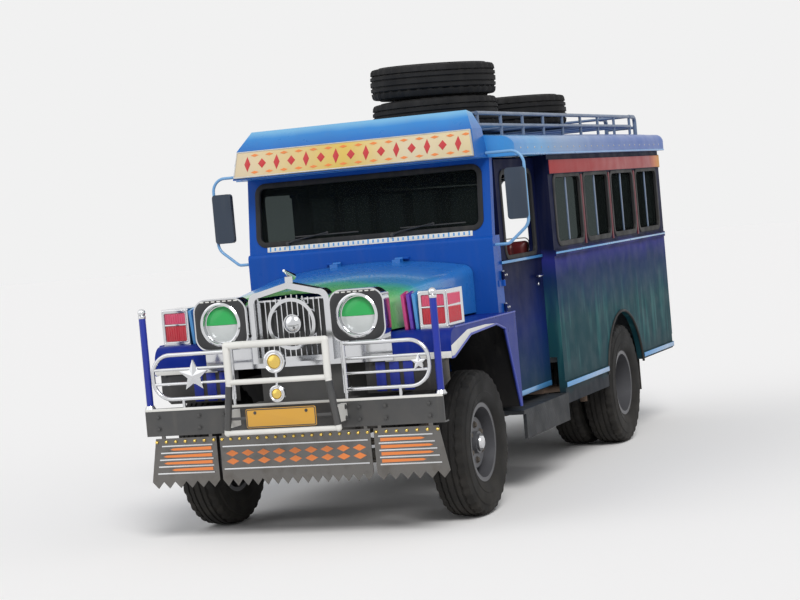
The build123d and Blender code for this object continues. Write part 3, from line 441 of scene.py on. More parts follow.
CHROME = Finish(
    "chrome", (0.72, 0.73, 0.75), 0.12, 1.0, Slot.BRIGHT, grain=0.02, dust=0.15, dust_top=1.2, mottle=0.3
)
STAINLESS = Brushed(
    "stainless_sheet", (0.5, 0.49, 0.47), 0.3, 1.0, Slot.STAINLESS, grain=0.08, dust=0.35, dust_top=0.8
)
APRON_STEEL = Brushed(
    "apron_steel", (0.17, 0.165, 0.16), 0.32, 1.0, grain=0.1, dust_top=0.7, stain=(0.08, 0.07, 0.06)
)
BLACK_PAINT = Finish("chassis_paint", (0.022, 0.022, 0.024), 0.55, 0.0, Slot.CHASSIS, dust=0.7, dust_top=0.9)
SPRING_STEEL = Finish("spring_leaves", (0.06, 0.05, 0.045), 0.6, 0.5, Slot.BRIGHT, dust=0.7, mottle=0.8)
ENGINE_IRON = Finish("engine_casting", (0.11, 0.11, 0.11), 0.65, 0.3, grain=0.4, dust=0.5, mottle=0.8)
EXHAUST = Finish("exhaust_rust", (0.16, 0.1, 0.07), 0.75, 0.4, grain=0.3, dust=0.5, mottle=1.0)
FLOOR_PLATE = Chequer("floor_plate", (0.13, 0.15, 0.17), 0.45, 0.4, grain=0.5, dust=0.4, dust_top=1.1)
TYRE = Rubber(
    "tyre_rubber", (0.008, 0.008, 0.0085), 0.8, 0.0, Slot.TYRE, grain=0.25, fineness=900.0, dust=0.09,
    dust_top=0.7, specular=0.25,
)
SPARE = Rubber(
    "spare_rubber", (0.009, 0.009, 0.01), 0.78, 0.0, Slot.TYRE, grain=0.25, fineness=900.0, dust=0.06,
    dust_top=0.5, specular=0.25,
)
SEAL = Finish("black_seal", (0.014, 0.014, 0.015), 0.6, 0.0, Slot.TYRE, grain=0.2, dust=0.2, specular=0.3)
STEP_PLATE = Chequer(
    "step_plate", (0.024, 0.028, 0.034), 0.5, grain=0.5, dust=0.15, dust_top=0.8, specular=0.12
)
# Near-black rim paint: written darker than the steel to stand for the shade in the wheels, a painted shade.
SHADED_RIM_PAINT = Finish("rim_paint", (0.04, 0.042, 0.046), 0.45, 0.3, dust=0.25, dust_top=0.9, mottle=0.6)
BUMPER = Finish(
    "bumper_enamel", (0.045, 0.047, 0.05), 0.42, 0.2, Slot.BUMPER, coat=0.2, dust=0.35, mottle=0.5
)
WHITE = Finish("white_enamel", (0.72, 0.71, 0.67), 0.38, 0.0, Slot.WHITE, coat=0.3, dust=0.2, mottle=0.3)
# The fenders' deep blue is written a little darker for their shaded sides: partly painted shade.
DEEP_BLUE = FenderPaint(
    "deep_blue", (0.007, 0.024, 0.23), 0.32, coat=0.03, dust=0.12, dust_top=0.8, mottle=0.3, specular=0.07
)
# The doors' colours are written darker than the paint to stand for the shade on the vehicle's sides: painted
# shade.
SHADED_DOOR_NAVY = BlendPaint(
    "shaded_door_navy", (0.01, 0.015, 0.06), 0.42, dust=0.07, dust_top=0.7, specular=0.03, waver=0.05,
    stops=((0.62, (0.008, 0.035, 0.075)), (0.95, (0.008, 0.02, 0.12)), (1.3, (0.006, 0.009, 0.04))),
)
BRIGHT_BLUE = Finish(
    "bright_blue", (0.006, 0.075, 0.37), 0.3, coat=0.04, dust=0.1, mottle=0.35, specular=0.12
)
SKY_BLUE = Finish("sky_blue", (0.06, 0.29, 0.62), 0.32, 0.0, Slot.LIGHT_BLUE, coat=0.5, dust=0.12, mottle=0.3)
VISOR_PAINT = BlendPaint(
    "visor_fade", (0.02, 0.16, 0.5), 0.32, coat=0.15, dust=0.1, specular=0.3, waver=0.006,
    stops=(
        (2.02, (0.012, 0.11, 0.42)), (2.17, (0.016, 0.15, 0.47)), (2.225, (0.03, 0.22, 0.56)),
        (2.262, (0.17, 0.42, 0.66)),
    ),
)
TUBE_BLUE = Finish("tube_blue", (0.16, 0.36, 0.62), 0.35, coat=0.2, dust=0.1)
RACK_PAINT = Finish(
    "rack_paint", (0.13, 0.19, 0.3), 0.42, 0.2, Slot.STAINLESS, coat=0.2, dust=0.2, dust_top=0.5, mottle=0.7
)
SHELL_GREY = Finish(
    "mirror_shell", (0.035, 0.05, 0.075), 0.35, 0.0, Slot.LIGHT_BLUE, coat=0.1, dust=0.15, mottle=0.6,
    specular=0.3,
)
POST_BLUE = Finish("post_blue", (0.01, 0.026, 0.3), 0.32, 0.0, Slot.BLUE, coat=0.15, dust=0.12, specular=0.3)
# A lighter blue than the fenders: a painted highlight along each fender's top edge, also given to the arch
# beads.
HIGHLIGHT_BLUE = Finish("highlight_blue", (0.05, 0.075, 0.4), 0.32, 0.0, Slot.BLUE, coat=0.15, dust=0.12, specular=0.3)
TINTED = Glass(
    "tinted_glass", (0.055, 0.068, 0.066), 0.03, grain=0.0, dust=0.01, dust_top=1.4, mottle=0.1, specular=0.0,
    transmission=0.88, ior=1.0,
)
CLEAR = Glass("clear_glass", (0.78, 0.81, 0.8), 0.1, 0.0, Slot.LAMP, dust=0.03, transmission=0.35)
GREEN_GLASS = Glass(
    "green_glass", (0.03, 0.46, 0.11), 0.12, 0.0, Slot.LAMP, grain=0.1, dust=0.02, transmission=0.2
)
RED_LENS = Finish("red_lens", (0.5, 0.012, 0.03), 0.18, 0.0, Slot.LAMP, coat=0.6, grain=0.2, dust=0.1)
PINK_LENS = Finish("pink_lens", (0.62, 0.06, 0.14), 0.18, 0.0, Slot.LAMP, coat=0.6, grain=0.2, dust=0.1)
AMBER_LENS = Finish("amber_lens", (0.8, 0.25, 0.01), 0.18, 0.0, Slot.LAMP, coat=0.6, grain=0.2, dust=0.1)
MIRROR = Finish("mirror_glass", (0.85, 0.87, 0.88), 0.03, 1.0, Slot.BRIGHT, grain=0.0, dust=0.05)
BAND_RED = BlendPaint(
    "band_red", (0.32, 0.02, 0.022), 0.4, 0.0, Slot.VINYL, dust=0.1, dust_top=0.2, specular=0.25,
    axis=Axis.Y, waver=0.02,
    stops=((2.1, (0.32, 0.02, 0.022)), (2.24, (0.6, 0.14, 0.012)), (2.4, (0.7, 0.33, 0.03))),
)
DARK_RED = Finish(
    "pillar_red", (0.13, 0.01, 0.02), 0.45, 0.0, Slot.VINYL, dust=0.1, dust_top=0.2, specular=0.25
)
SIGN_CREAM = BlendPaint(
    "sign_cream", (0.7, 0.58, 0.24), 0.42, 0.0, Slot.SIGN, coat=0.2, dust=0.12, axis=Axis.X, waver=0.02,
    stops=(
        (-0.7, (0.64, 0.52, 0.34)), (-0.05, (0.64, 0.44, 0.08)), (0.35, (0.64, 0.54, 0.36)),
        (0.75, (0.64, 0.52, 0.3)),
    ),
)
PLATE_YELLOW = Finish("plate_yellow", (0.6, 0.31, 0.03), 0.4, 0.0, Slot.SIGN, coat=0.1, dust=0.2)
SIGN_RED = Finish("sign_red", (0.5, 0.02, 0.025), 0.4, 0.0, Slot.SIGN, coat=0.2, dust=0.1)
PINK = Finish("fin_pink", (0.55, 0.04, 0.2), 0.3, coat=0.5, dust=0.15)
PURPLE = Finish("fin_purple", (0.12, 0.03, 0.4), 0.3, coat=0.5, dust=0.15)
GOLD = Finish("gold_studs", (0.85, 0.6, 0.15), 0.22, 1.0, Slot.SIGN, grain=0.03, dust=0.1)
ORANGE = Finish("orange_stripe", (0.75, 0.2, 0.03), 0.35, 0.0, Slot.SIGN, coat=0.3, dust=0.2, dust_top=0.7)
VINYL = Finish(
    "red_vinyl", (0.15, 0.016, 0.016), 0.42, 0.0, Slot.VINYL, grain=0.35, fineness=520.0, ripple=1.2,
    dust=0.1, sheen=0.1,
)
PIPING = Finish("seat_piping", (0.4, 0.37, 0.3), 0.5, 0.0, Slot.VINYL, grain=0.2, dust=0.1, mottle=0.5)
PLASTIC = Finish("black_plastic", (0.02, 0.02, 0.022), 0.4, 0.0, Slot.PLASTIC, grain=0.3, dust=0.1)
DASH = Finish("dash_grey", (0.05, 0.05, 0.055), 0.5, 0.0, Slot.PLASTIC, grain=0.4, dust_top=1.6)
HOOD_PAINT = BlendPaint(
    "hood_fade", (0.02, 0.1, 0.5), 0.28, coat=0.4, dust=0.1, specular=0.4, axis=Axis.Y, waver=0.035, lean=0.9,
    stops=(
        (-1.27, (0.15, 0.5, 0.14)), (-1.02, (0.07, 0.44, 0.26)), (-0.88, (0.05, 0.29, 0.57)),
        (-0.5, (0.018, 0.16, 0.5)),
    ),
)
# The side colours are written darker than the paint to stand for the shade on the vehicle's sides: painted
# shade. The streaks are airbrushed paint.
SHADED_SIDE_PAINT = StreakPaint(
    "shaded_side_fade", (0.01, 0.05, 0.3), 0.45, dust=0.08, dust_top=0.7, specular=0.03, waver=0.03,
    stops=(
        (0.5, (0.015, 0.02, 0.028)), (0.56, (0.01, 0.045, 0.058)), (0.95, (0.01, 0.056, 0.072)),
        (1.22, (0.009, 0.028, 0.1)), (1.33, (0.024, 0.028, 0.19)), (1.4, (0.006, 0.009, 0.035)),
    ),
)
ROOF_PAINT = BlendPaint(
    "roof_fade", (0.04, 0.24, 0.7), 0.33, coat=0.15, dust=0.12, dust_top=0.5, specular=0.3, axis=Axis.Y,
    waver=0.12,
    stops=(
        (-1.1, (0.035, 0.24, 0.6)), (-0.75, (0.07, 0.31, 0.62)), (-0.2, (0.17, 0.29, 0.5)),
        (0.6, (0.07, 0.16, 0.42)), (1.7, (0.015, 0.09, 0.38)),
    ),
)


def soften(part: bmesh.types.BMesh, offset: float, segments: int = 2, edges: list | None = None) -> None:
    """Round edges of a part, all of them where none are given."""
    if offset > 0:
        chosen = list(part.edges) if edges is None else edges
        bmesh.ops.bevel(
            part, geom=chosen, offset=offset, segments=segments, profile=0.5, affect="EDGES", material=-1
        )


def lift(part: bmesh.types.BMesh, faces: list, rise: float) -> list[bmesh.types.BMFace]:
    """Extrude flat faces straight up and return the raised ones."""
    made = bmesh.ops.extrude_face_region(part, geom=faces, use_keep_orig=True)["geom"]
    raised = [item for item in made if isinstance(item, bmesh.types.BMVert)]
    bmesh.ops.translate(part, verts=raised, vec=(0, 0, rise))
    return [item for item in made if isinstance(item, bmesh.types.BMFace)]


def everything(part: bmesh.types.BMesh) -> list[object]:
    """All elements of a part."""
    return [*part.verts, *part.edges, *part.faces]


class Shape:
    """A mesh under construction, in metres, whose parts are given in a local placement."""

    def __init__(self, at: Matrix = IDENTITY) -> None:
        """Start empty, with the placement of the parts that follow."""
        self.mesh = bmesh.new()
        self.here = at

    def at(self, placement: Matrix) -> "Shape":
        """Place the parts that follow by another matrix."""
        self.here = placement
        return self

    def take(self, part: bmesh.types.BMesh) -> "Shape":
        """Move a finished part in at the current placement."""
        bmesh.ops.recalc_face_normals(part, faces=part.faces)
        bmesh.ops.transform(part, matrix=self.here, verts=part.verts)
        mesh = bpy.data.meshes.new("part")
        part.to_mesh(mesh)
        part.free()
        self.mesh.from_mesh(mesh)
        bpy.data.meshes.remove(mesh)
        return self

    def block(self, low: Point, high: Point, bevel: float = 0.002, segments: int = 2) -> "Shape":
        """Add a box between two corners, with rounded edges."""
        part = bmesh.new()
        size = Vector(high) - Vector(low)
        matrix = Matrix.Translation((Vector(low) + Vector(high)) / 2) @ Matrix.Diagonal((*size, 1.0))
        bmesh.ops.create_cube(part, size=1.0, matrix=matrix)
        soften(part, min(bevel, 0.45 * min(size)), segments)
        return self.take(part)

    def slab(self, side: int, xs: Flat, ys: Flat, zs: Flat, bevel: float = 0.002) -> "Shape":
        """Add a box on one side of the vehicle, its limits given as they are on the left."""
        return self.at(IDENTITY).block(*flank(side, xs, ys, zs), bevel)

    def rod(
        self, start: Point, end: Point, radius: float, tip: float | None = None, sides: int = 20,
        bevel: float = 0.0,
    ) -> "Shape":
        """Add a round or many-sided bar, tapered where its tip differs.

        Args:
            start: Centre of the first end.
            end: Centre of the other end.
            radius: Radius at the start.
            tip: Radius at the end, the same if left out.
            sides: Number of sides.
            bevel: Rounding of the end edges.

        Returns:
            The shape itself.
        """
        part = bmesh.new()
        run = Vector(end) - Vector(start)
        turn = run.to_track_quat("Z", "Y").to_matrix().to_4x4()
        matrix = Matrix.Translation((Vector(start) + Vector(end)) / 2) @ turn
        tip = radius if tip is None else tip
        bmesh.ops.create_cone(
            part, cap_ends=True, segments=sides, radius1=radius, radius2=tip, depth=run.length, matrix=matrix
        )
        soften(part, bevel, 2, [e for e in part.edges if any(len(f.verts) > 4 for f in e.link_faces)])
        return self.take(part)

    def stud(self, low: float, high: float, radius: float, tip: float, sides: int = 20) -> "Shape":
        """Add a short tapered bar along the local Z axis."""
        return self.rod((0, 0, low), (0, 0, high), radius, tip, sides)

    def ball(self, centre: Point, radius: float, sides: int = 20) -> "Shape":
        """Add a ball."""
        part = bmesh.new()
        matrix = Matrix.Translation(centre)
        bmesh.ops.create_uvsphere(part, u_segments=sides, v_segments=sides // 2, radius=radius, matrix=matrix)
        return self.take(part)

    def lathe(self, profile: Sequence[Flat], steps: int = 48, closed: bool = False) -> "Shape":
        """Spin a profile of radius and height about the local Z axis.

        Args:
            profile: Radius and height of each point.
            steps: Number of steps in the full turn.
            closed: True joins the last point to the first one.

        Returns:
            The shape itself.
        """
        part = bmesh.new()
        points = [part.verts.new((radius, 0.0, height)) for radius, height in profile]
        edges = [part.edges.new(pair) for pair in zip(points, points[1:])]
        if closed:
            edges.append(part.edges.new((points[-1], points[0])))
        turn = {"cent": (0, 0, 0), "axis": (0, 0, 1), "angle": math.tau, "steps": steps}
        bmesh.ops.spin(part, geom=points + edges, use_merge=True, **turn)
        bmesh.ops.remove_doubles(part, verts=part.verts, dist=1e-6)
        return self.take(part)

    def panel(
        self, outline: Sequence[Flat], low: float, high: float, bevel: float = 0.0, peak: float = 0.0
    ) -> "Shape":
        """Add a flat plate with the given outline.

        Args:
            outline: Its corners.
            low: Local height of its back.
            high: Local height of its face.
            bevel: Rounding of the face's rim.
            peak: How far a faceted point rises from the face.

        Returns:
            The shape itself.
        """
        part = bmesh.new()
        face = part.faces.new([part.verts.new((x, y, low)) for x, y in outline])
        top = lift(part, [face], high - low)
        soften(part, bevel, 2, [e for e in part.edges if all(abs(v.co.z - high) < 1e-7 for v in e.verts)])
        if peak:
            tip = bmesh.ops.poke(part, faces=top)["verts"]
            bmesh.ops.translate(part, verts=tip, vec=(0, 0, peak))
        return self.take(part)

    def surround(
        self, outer: Sequence[Flat], inner: Sequence[Flat], low: float, high: float, bevel: float
    ) -> "Shape":
        """Add a flat frame between two outlines with equal counts of points."""
        part = bmesh.new()
        loops = []
        for outline in (outer, inner):
            corners = [part.verts.new((x, y, low)) for x, y in outline]
            loops += [part.edges.new(pair) for pair in zip(corners, corners[1:] + corners[:1])]
        bmesh.ops.bridge_loops(part, edges=loops)
        lift(part, list(part.faces), high - low)
        flat = [e for e in part.edges if all(abs(v.co.z - high) < 1e-7 for v in e.verts)]
        soften(part, bevel, 2, [e for e in flat if any(abs(f.normal.z) < 0.5 for f in e.link_faces)])
        return self.take(part)

    def pipe(self, points: Sequence[Point], radius: float, cyclic: bool = False, sides: int = 3) -> "Shape":
        """Add a round tube along a run of points."""
        curve = bpy.data.curves.new("pipe", "CURVE")
        curve.dimensions = "3D"
        curve.bevel_depth = radius
        curve.bevel_resolution = sides
        curve.use_fill_caps = not cyclic
        line = curve.splines.new("POLY")
        line.points.add(len(points) - 1)
        for target, point in zip(line.points, points):
            target.co = (*point, 1.0)
        line.use_cyclic_u = cyclic
        holder = bpy.data.objects.new("pipe", curve)
        mesh = bpy.data.meshes.new_from_object(holder)
        part = bmesh.new()
        part.from_mesh(mesh)
        bpy.data.objects.remove(holder)
        bpy.data.meshes.remove(mesh)
        bpy.data.curves.remove(curve)
        bmesh.ops.remove_doubles(part, verts=part.verts, dist=1e-6)
        return self.take(part)

    def bolt(self, place: Matrix, radius: float = 0.009) -> "Shape":
        """Add a washer and a six-sided head that stand on a face."""
        self.at(place).stud(-0.001, 0.0025, radius * 1.45, radius * 1.45)
        return self.rod((0, 0, 0.002), (0, 0, radius), radius, radius * 0.94, sides=6, bevel=radius * 0.08)

    def piece(
        self, name: str, finish: Finish, body: str = BODY, sharp: float = 35.0, slot: Slot | None = None
    ) -> bpy.types.Object:
        """Finish the mesh as a named piece that rides on a body.

        Args:
            name: The piece's name.
            finish: Its finish.
            body: The body that it moves with.
            sharp: Edges that turn by more than this many degrees stay sharp.
            slot: Its slot in the record where that isn't the finish's own; not used.

        Returns:
            The new object.
        """
        limit = math.radians(sharp)
        for face in self.mesh.faces:
            face.smooth = True
        for edge in self.mesh.edges:
            edge.smooth = edge.calc_face_angle(0.0) < limit
        mesh = bpy.data.meshes.new(name)
        self.mesh.to_mesh(mesh)
        self.mesh.free()
        mesh.materials.append(finish.build())
        made = link(name, mesh)
        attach(made, body)
        LOG.info("%s: %d faces on %s", name, len(mesh.polygons), body)
        return made


class Kit:
    """The shapes of one assembly by the names of their pieces."""

    def __init__(self, at: Matrix = IDENTITY, tail: str = "") -> None:
        """Start empty.

        Args:
            at: The placement that every shape starts with.
            tail: What follows each name in the piece's own.
        """
        self.start = at
        self.tail = tail
        self.shapes: dict[str, Shape] = {}

    def __getitem__(self, name: str) -> Shape:
        """The shape of one piece, started when first asked for."""
        if name not in self.shapes:
            self.shapes[name] = Shape(self.start)
        return self.shapes[name]

    def finish(self, finishes: Mapping[str, Finish], node: str = "", **settings: object) -> None:
        """Finish shapes as pieces.

        Args:
            finishes: The finish of each shape.
            node: The frame's node that the pieces stand for, if any.
            settings: What Shape.piece takes beside the name and the finish.
        """
        for name, finish in finishes.items():
            made = self.shapes.pop(name).piece(name + self.tail, finish, **settings)
            if node:
                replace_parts(made, node)


def link(name: str, data: bpy.types.ID) -> bpy.types.Object:
    """Put a new object into the scene."""
    made = bpy.data.objects.new(name, data)
    bpy.context.scene.collection.objects.link(made)
    return made


def move(x: float, y: float, z: float) -> Matrix:
    """A placement that is moved and not turned."""
    return Matrix.Translation((x, y, z))


def facing(origin: Point, across: Point, outward: Point) -> Matrix:
    """A placement whose X runs across, Z points outward and Y completes them."""
    x, z = Vector(across).normalized(), Vector(outward).normalized()
    matrix = Matrix((x, z.cross(x), z)).transposed().to_4x4()
    matrix.translation = origin
    return matrix


def facing_front(x: float = 0.0, y: float = 0.0, z: float = 0.0) -> Matrix:
    """A placement on an upright face that looks forward."""
    return facing((x, y, z), (1, 0, 0), (0, -1, 0))


def facing_rear(x: float = 0.0, y: float = 0.0, z: float = 0.0) -> Matrix:
    """A placement on an upright face that looks back."""
    return facing((x, y, z), (-1, 0, 0), (0, 1, 0))


def facing_side(side: int, x: float = 0.0, y: float = 0.0, z: float = 0.0) -> Matrix:
    """A placement on an upright face that looks to one side, 1 for the left."""
    return facing((side * x, y, z), (0, side, 0), (side, 0, 0))


def flank(side: int, xs: Flat, ys: Flat, zs: Flat) -> tuple[Point, Point]:
    """The corners of a box on one side of the vehicle, given as it is on the left."""
    x_low, x_high = sorted((side * xs[0], side * xs[1]))
    return (x_low, ys[0], zs[0]), (x_high, ys[1], zs[1])


def sided(side: int, outline: Sequence[Flat]) -> list[Flat]:
    """An outline turned to one side of the middle."""
    return [(side * x, y) for x, y in outline]


def scaled(radius: float, profile: Sequence[Flat]) -> list[Flat]:
    """A profile whose radii are given as shares of a radius."""
    return [(share * radius, height) for share, height in profile]


def spread(low: float, high: float, count: int) -> list[float]:
    """Evenly spaced values from low to high."""
    return [low + i * (high - low) / (count - 1) for i in range(count)]


def polar(radius: float, angle: float) -> Flat:
    """The flat place at a distance and an angle from the middle."""
    return radius * math.cos(angle), radius * math.sin(angle)


def ring(radius: float, steps: int = 6) -> list[Flat]:
    """A circle with as many points as rounded() gives for the same steps."""
    count = 4 * (steps + 1)
    return [polar(radius, (i + 0.5) / count * math.tau) for i in range(count)]


def rounded(
    width: float, height: float, corner: float, steps: int = 6, centre: Flat = (0.0, 0.0)
) -> list[Flat]:
    """The outline of a rounded rectangle, anticlockwise."""
    points = []
    for quarter, (sx, sy) in enumerate(((1, 1), (-1, 1), (-1, -1), (1, -1))):
        cx, cy = centre[0] + sx * (width / 2 - corner), centre[1] + sy * (height / 2 - corner)
        for i in range(steps + 1):
            x, y = polar(corner, (quarter + i / steps) * math.pi / 2)
            points.append((cx + x, cy + y))
    return points


@dataclass
class FramePaint:
    """The finish of each node of the frame that shows as it is."""

    frame: Mapping[str, object]
    finishes: Mapping[Finish, str] = field(
        default_factory=lambda: {
            BLACK_PAINT: "frame front_axle rear_axle fuel_tank tie_rod knuckle_left knuckle_right",
            SPRING_STEEL: "leaf_springs",
            ENGINE_IRON: "engine",
            EXHAUST: "exhaust",
            FLOOR_PLATE: "floor",
            STEP_PLATE: "steps",
            BRIGHT_BLUE: "cowl",
            DEEP_BLUE: "fenders",
            SHADED_DOOR_NAVY: "door_left door_right",
            SHADED_SIDE_PAINT: "side_wall_left side_wall_right rear_wall",
            TINTED: "window_glass",
            ROOF_PAINT: "roof",
            VISOR_PAINT: "visor",
            SIGN_CREAM: "sign_plates",
            RACK_PAINT: "roof_rack",
            TUBE_BLUE: "mirrors",
            SPARE: "spare_tyres",
            CHROME: "grille_shell lamp_housings guard_loops",
            CLEAR: "lamp_lenses",
            BUMPER: "front_bumper",
            WHITE: "guard_frame",
            APRON_STEEL: "front_apron",
            VINYL: "front_seat benches",
            HOOD_PAINT: "hood",
            PLASTIC: "steering_wheel",
            SHADED_RIM_PAINT: "rim_front_left rim_front_right rims_rear_left rims_rear_right",
            TYRE: "tyre_front_left tyre_front_right tyres_rear_left tyres_rear_right",
        }
    )

    def build(self) -> None:
        """Assign every node's material."""
        for finish, names in self.finishes.items():
            material = finish.build()
            for name in names.split():
                mesh = self.frame["nodes"][name].data
                mesh.materials.clear()
                mesh.materials.append(material)


@dataclass
class Studio:
    """A plain pale floor, soft light and the camera."""

    camera_at: Point = (4.7425, -13.1473, 1.7542)
    yaw: float = -21.14
    pitch: float = -2.53
    roll: float = -5.14
    lens: float = 96.2
    sensor: float = 36.0
    floor_size: float = 60.0
    floor_colour: Colour = (0.93, 0.912, 0.895)
    sky_colour: Colour = (0.93, 0.96, 1.0)
    sky: float = 0.5
    backdrop: float = 0.88

    def build(self) -> None:
        """Make the floor, the world, the lamps and the camera."""
        self.floor()
        self.world()
        self.lamp("key", (4.5, -7.0, 7.5), angle=24.0, power=1.9)
        self.lamp("fill", (-7.0, -5.0, 5.0), angle=60.0, power=0.5)
        self.camera()

    def floor(self) -> None:
        """Lay the floor, which is left out of the object."""
        mesh = bpy.data.meshes.new("floor_sheet")
        sheet = bmesh.new()
        bmesh.ops.create_grid(sheet, x_segments=2, y_segments=2, size=self.floor_size)
        sheet.to_mesh(mesh)
        sheet.free()
        floor = link("floor_sheet", mesh)
        material = bpy.data.materials.new("floor_sheet")
        material.use_nodes = True
        shader = material.node_tree.nodes["Principled BSDF"]
        shader.inputs["Base Color"].default_value = (*self.floor_colour, 1.0)
        shader.inputs["Roughness"].default_value = 0.9
        shader.inputs["Specular IOR Level"].default_value = 0.0
        mesh.materials.append(material)

    def world(self) -> None:
        """Light the whole scene softly, with a pale background for the camera, metal and glass."""
        world = bpy.data.worlds.new("studio")
        bpy.context.scene.world = world
        world.use_nodes = True
        graph = Graph(world.node_tree)
        soft = world.node_tree.nodes["Background"]
        graph.feed(soft.inputs["Color"], self.sky_colour)
        graph.feed(soft.inputs["Strength"], self.sky)
        seen = graph.add("Background", {"Color": (1.0, 1.0, 1.0), "Strength": self.backdrop})
        rays = graph.add("LightPath").outputs
        shiny = graph.maths("MAXIMUM", rays["Is Glossy Ray"], rays["Is Transmission Ray"])
        plain = graph.maths("MAXIMUM", rays["Is Camera Ray"], shiny)
        both = graph.add("MixShader", {0: plain, 1: soft.outputs[0], 2: seen.outputs[0]})
        graph.feed(world.node_tree.nodes["World Output"].inputs[0], both.outputs[0])

    def lamp(self, name: str, place: Point, angle: float, power: float) -> None:
        """Shine a soft light evenly over the floor from the direction of a place."""
        lamp = bpy.data.lights.new(name, "SUN")
        lamp.angle = math.radians(angle)
        lamp.energy = power
        holder = link(name, lamp)
        holder.location = place
        holder.rotation_euler = (-Vector(place)).to_track_quat("-Z", "Y").to_euler()

    def camera(self) -> None:
        """Stand the camera where the photograph was taken from, with a longer lens."""
        data = bpy.data.cameras.new("camera")
        data.lens = self.lens
        data.sensor_width = self.sensor
        data.clip_end = 200.0
        camera = link("camera", data)
        yaw, pitch = math.radians(self.yaw), math.radians(self.pitch)
        ahead = Vector((math.sin(yaw) * math.cos(pitch), math.cos(yaw) * math.cos(pitch), math.sin(pitch)))
        turn = ahead.to_track_quat("-Z", "Y").to_matrix().to_4x4()
        roll = Matrix.Rotation(math.radians(self.roll), 4, "Z")
        camera.matrix_world = Matrix.Translation(self.camera_at) @ turn @ roll
        bpy.context.scene.camera = camera
        bpy.context.scene.view_settings.view_transform = "Standard"


@dataclass
class Tyres:
    """Road and spare tyres with ribs, grooves and shoulder lugs.

    The half section gives place across and radius, from the middle of the tread round the wall and lining.
    """

    half: tuple[Flat, ...] = (
        (0.0, 0.405), (0.014, 0.405), (0.017, 0.396), (0.024, 0.396), (0.027, 0.4045), (0.046, 0.4035),
        (0.049, 0.394), (0.056, 0.394), (0.059, 0.4025), (0.082, 0.399), (0.094, 0.391), (0.098, 0.378),
        (0.1, 0.352), (0.106, 0.345), (0.107, 0.315), (0.1035, 0.283), (0.106, 0.279), (0.103, 0.262),
        (0.094, 0.238), (0.085, 0.228), (0.083, 0.219), (0.076, 0.214), (0.074, 0.2055), (0.054, 0.2055),
        (0.075, 0.25), (0.09, 0.3), (0.085, 0.36), (0.066, 0.387), (0.0, 0.389),
    )
    steps: int = 144
    lug_steps: int = 4
    lowered: int = 2
    lug_depth: float = 0.009
    shoulder_x: float = 0.052
    shoulder_r: float = 0.376
    sharp: float = 28.0
    stack: tuple[Flat, Flat] = ((0.065, -0.12), (0.06, -0.1))
    stack_gap: float = 0.0095

    def tyre(self, shape: Shape, placement: Matrix) -> None:
        """Spin one tyre about the local Z axis and cut its shoulder lugs."""
        tyre = Shape()
        mirrored = [(-x, r) for x, r in reversed(self.half[1:-1])]
        tyre.lathe([(r, x) for x, r in (*self.half, *mirrored)], self.steps, closed=True)
        for vert in tyre.mesh.verts:
            radius = math.hypot(vert.co.x, vert.co.y)
            if radius > self.shoulder_r and abs(vert.co.z) > self.shoulder_x:
                turn = math.atan2(vert.co.y, vert.co.x) / math.tau * self.steps + (2 if vert.co.z > 0 else 0)
                if round(turn) % self.lug_steps < self.lowered:
                    vert.co.xy *= (radius - self.lug_depth) / radius
        shape.at(placement).take(tyre.mesh)

    def build(self) -> None:
        """Make the tyres of every wheel and those on the rack."""
        for end, side, name, y in PLAN.wheels():
            shape = Shape()
            for i, x in enumerate(PLAN.front_xs if end == "front" else PLAN.rear_xs):
                turn = Matrix.Rotation(0.3 * i + 0.1 * side, 4, "Z")
                self.tyre(shape, facing_side(side, x, y, PLAN.wheel_r) @ turn)
            made = shape.piece(f"tread_{name}", TYRE, f"wheel_{name}", self.sharp)
            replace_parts(made, f"tyre_{name}" if end == "front" else f"tyres_{name}")
        self.spares()

    def spares(self) -> None:
        """Make the three tyres that lie on the rack where their solids lie."""
        low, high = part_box("spare_tyres")
        deck = low.z + PLAN.tyre_half
        shape = Shape()
        tilt = Matrix.Rotation(math.radians(0.6), 4, "X") @ Matrix.Rotation(math.radians(1.5), 4, "Y")
        self.tyre(shape, move(*self.stack[0], deck))
        self.tyre(shape, move(*self.stack[1], deck + 2 * PLAN.tyre_half + self.stack_gap) @ tilt)
        self.tyre(shape, move(high.x - PLAN.wheel_r, high.y - PLAN.wheel_r, deck))
        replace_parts(shape.piece("spare_treads", SPARE, sharp=self.sharp), "spare_tyres")


@dataclass
class Wheels:
    """Nuts and hub caps of the wheels; the depths are those of the disc's face and of the hub."""

    nut_ring: float = 0.098
    nut_count: int = 6
    nut_r: float = 0.014
    front_depths: Flat = (0.798, 0.831)
    rear_depths: Flat = (0.645, 0.764)
    cap: tuple[Flat, ...] = (
        (0.0, 0.018), (0.02, 0.017), (0.035, 0.011), (0.042, 0.0), (0.044, -0.012), (0.0, -0.012)
    )

    def build(self) -> None:
        """Dress the outer face of each wheel."""
        for end, side, name, y in PLAN.wheels():
            face, hub = self.front_depths if end == "front" else self.rear_depths
            place = facing_side(side, 0.0, y, PLAN.wheel_r)
            kit = Kit(place @ move(0, 0, hub), f"_{name}")
            for i in range(self.nut_count):
                nut = polar(self.nut_ring, (i + 0.5) * math.tau / self.nut_count)
                kit["wheel_nuts"].bolt(place @ move(*nut, face), self.nut_r)
            kit["hub_cap"].lathe(self.cap, 32)
            kit.finish({"wheel_nuts": SPRING_STEEL, "hub_cap": CHROME}, body=f"wheel_{name}")


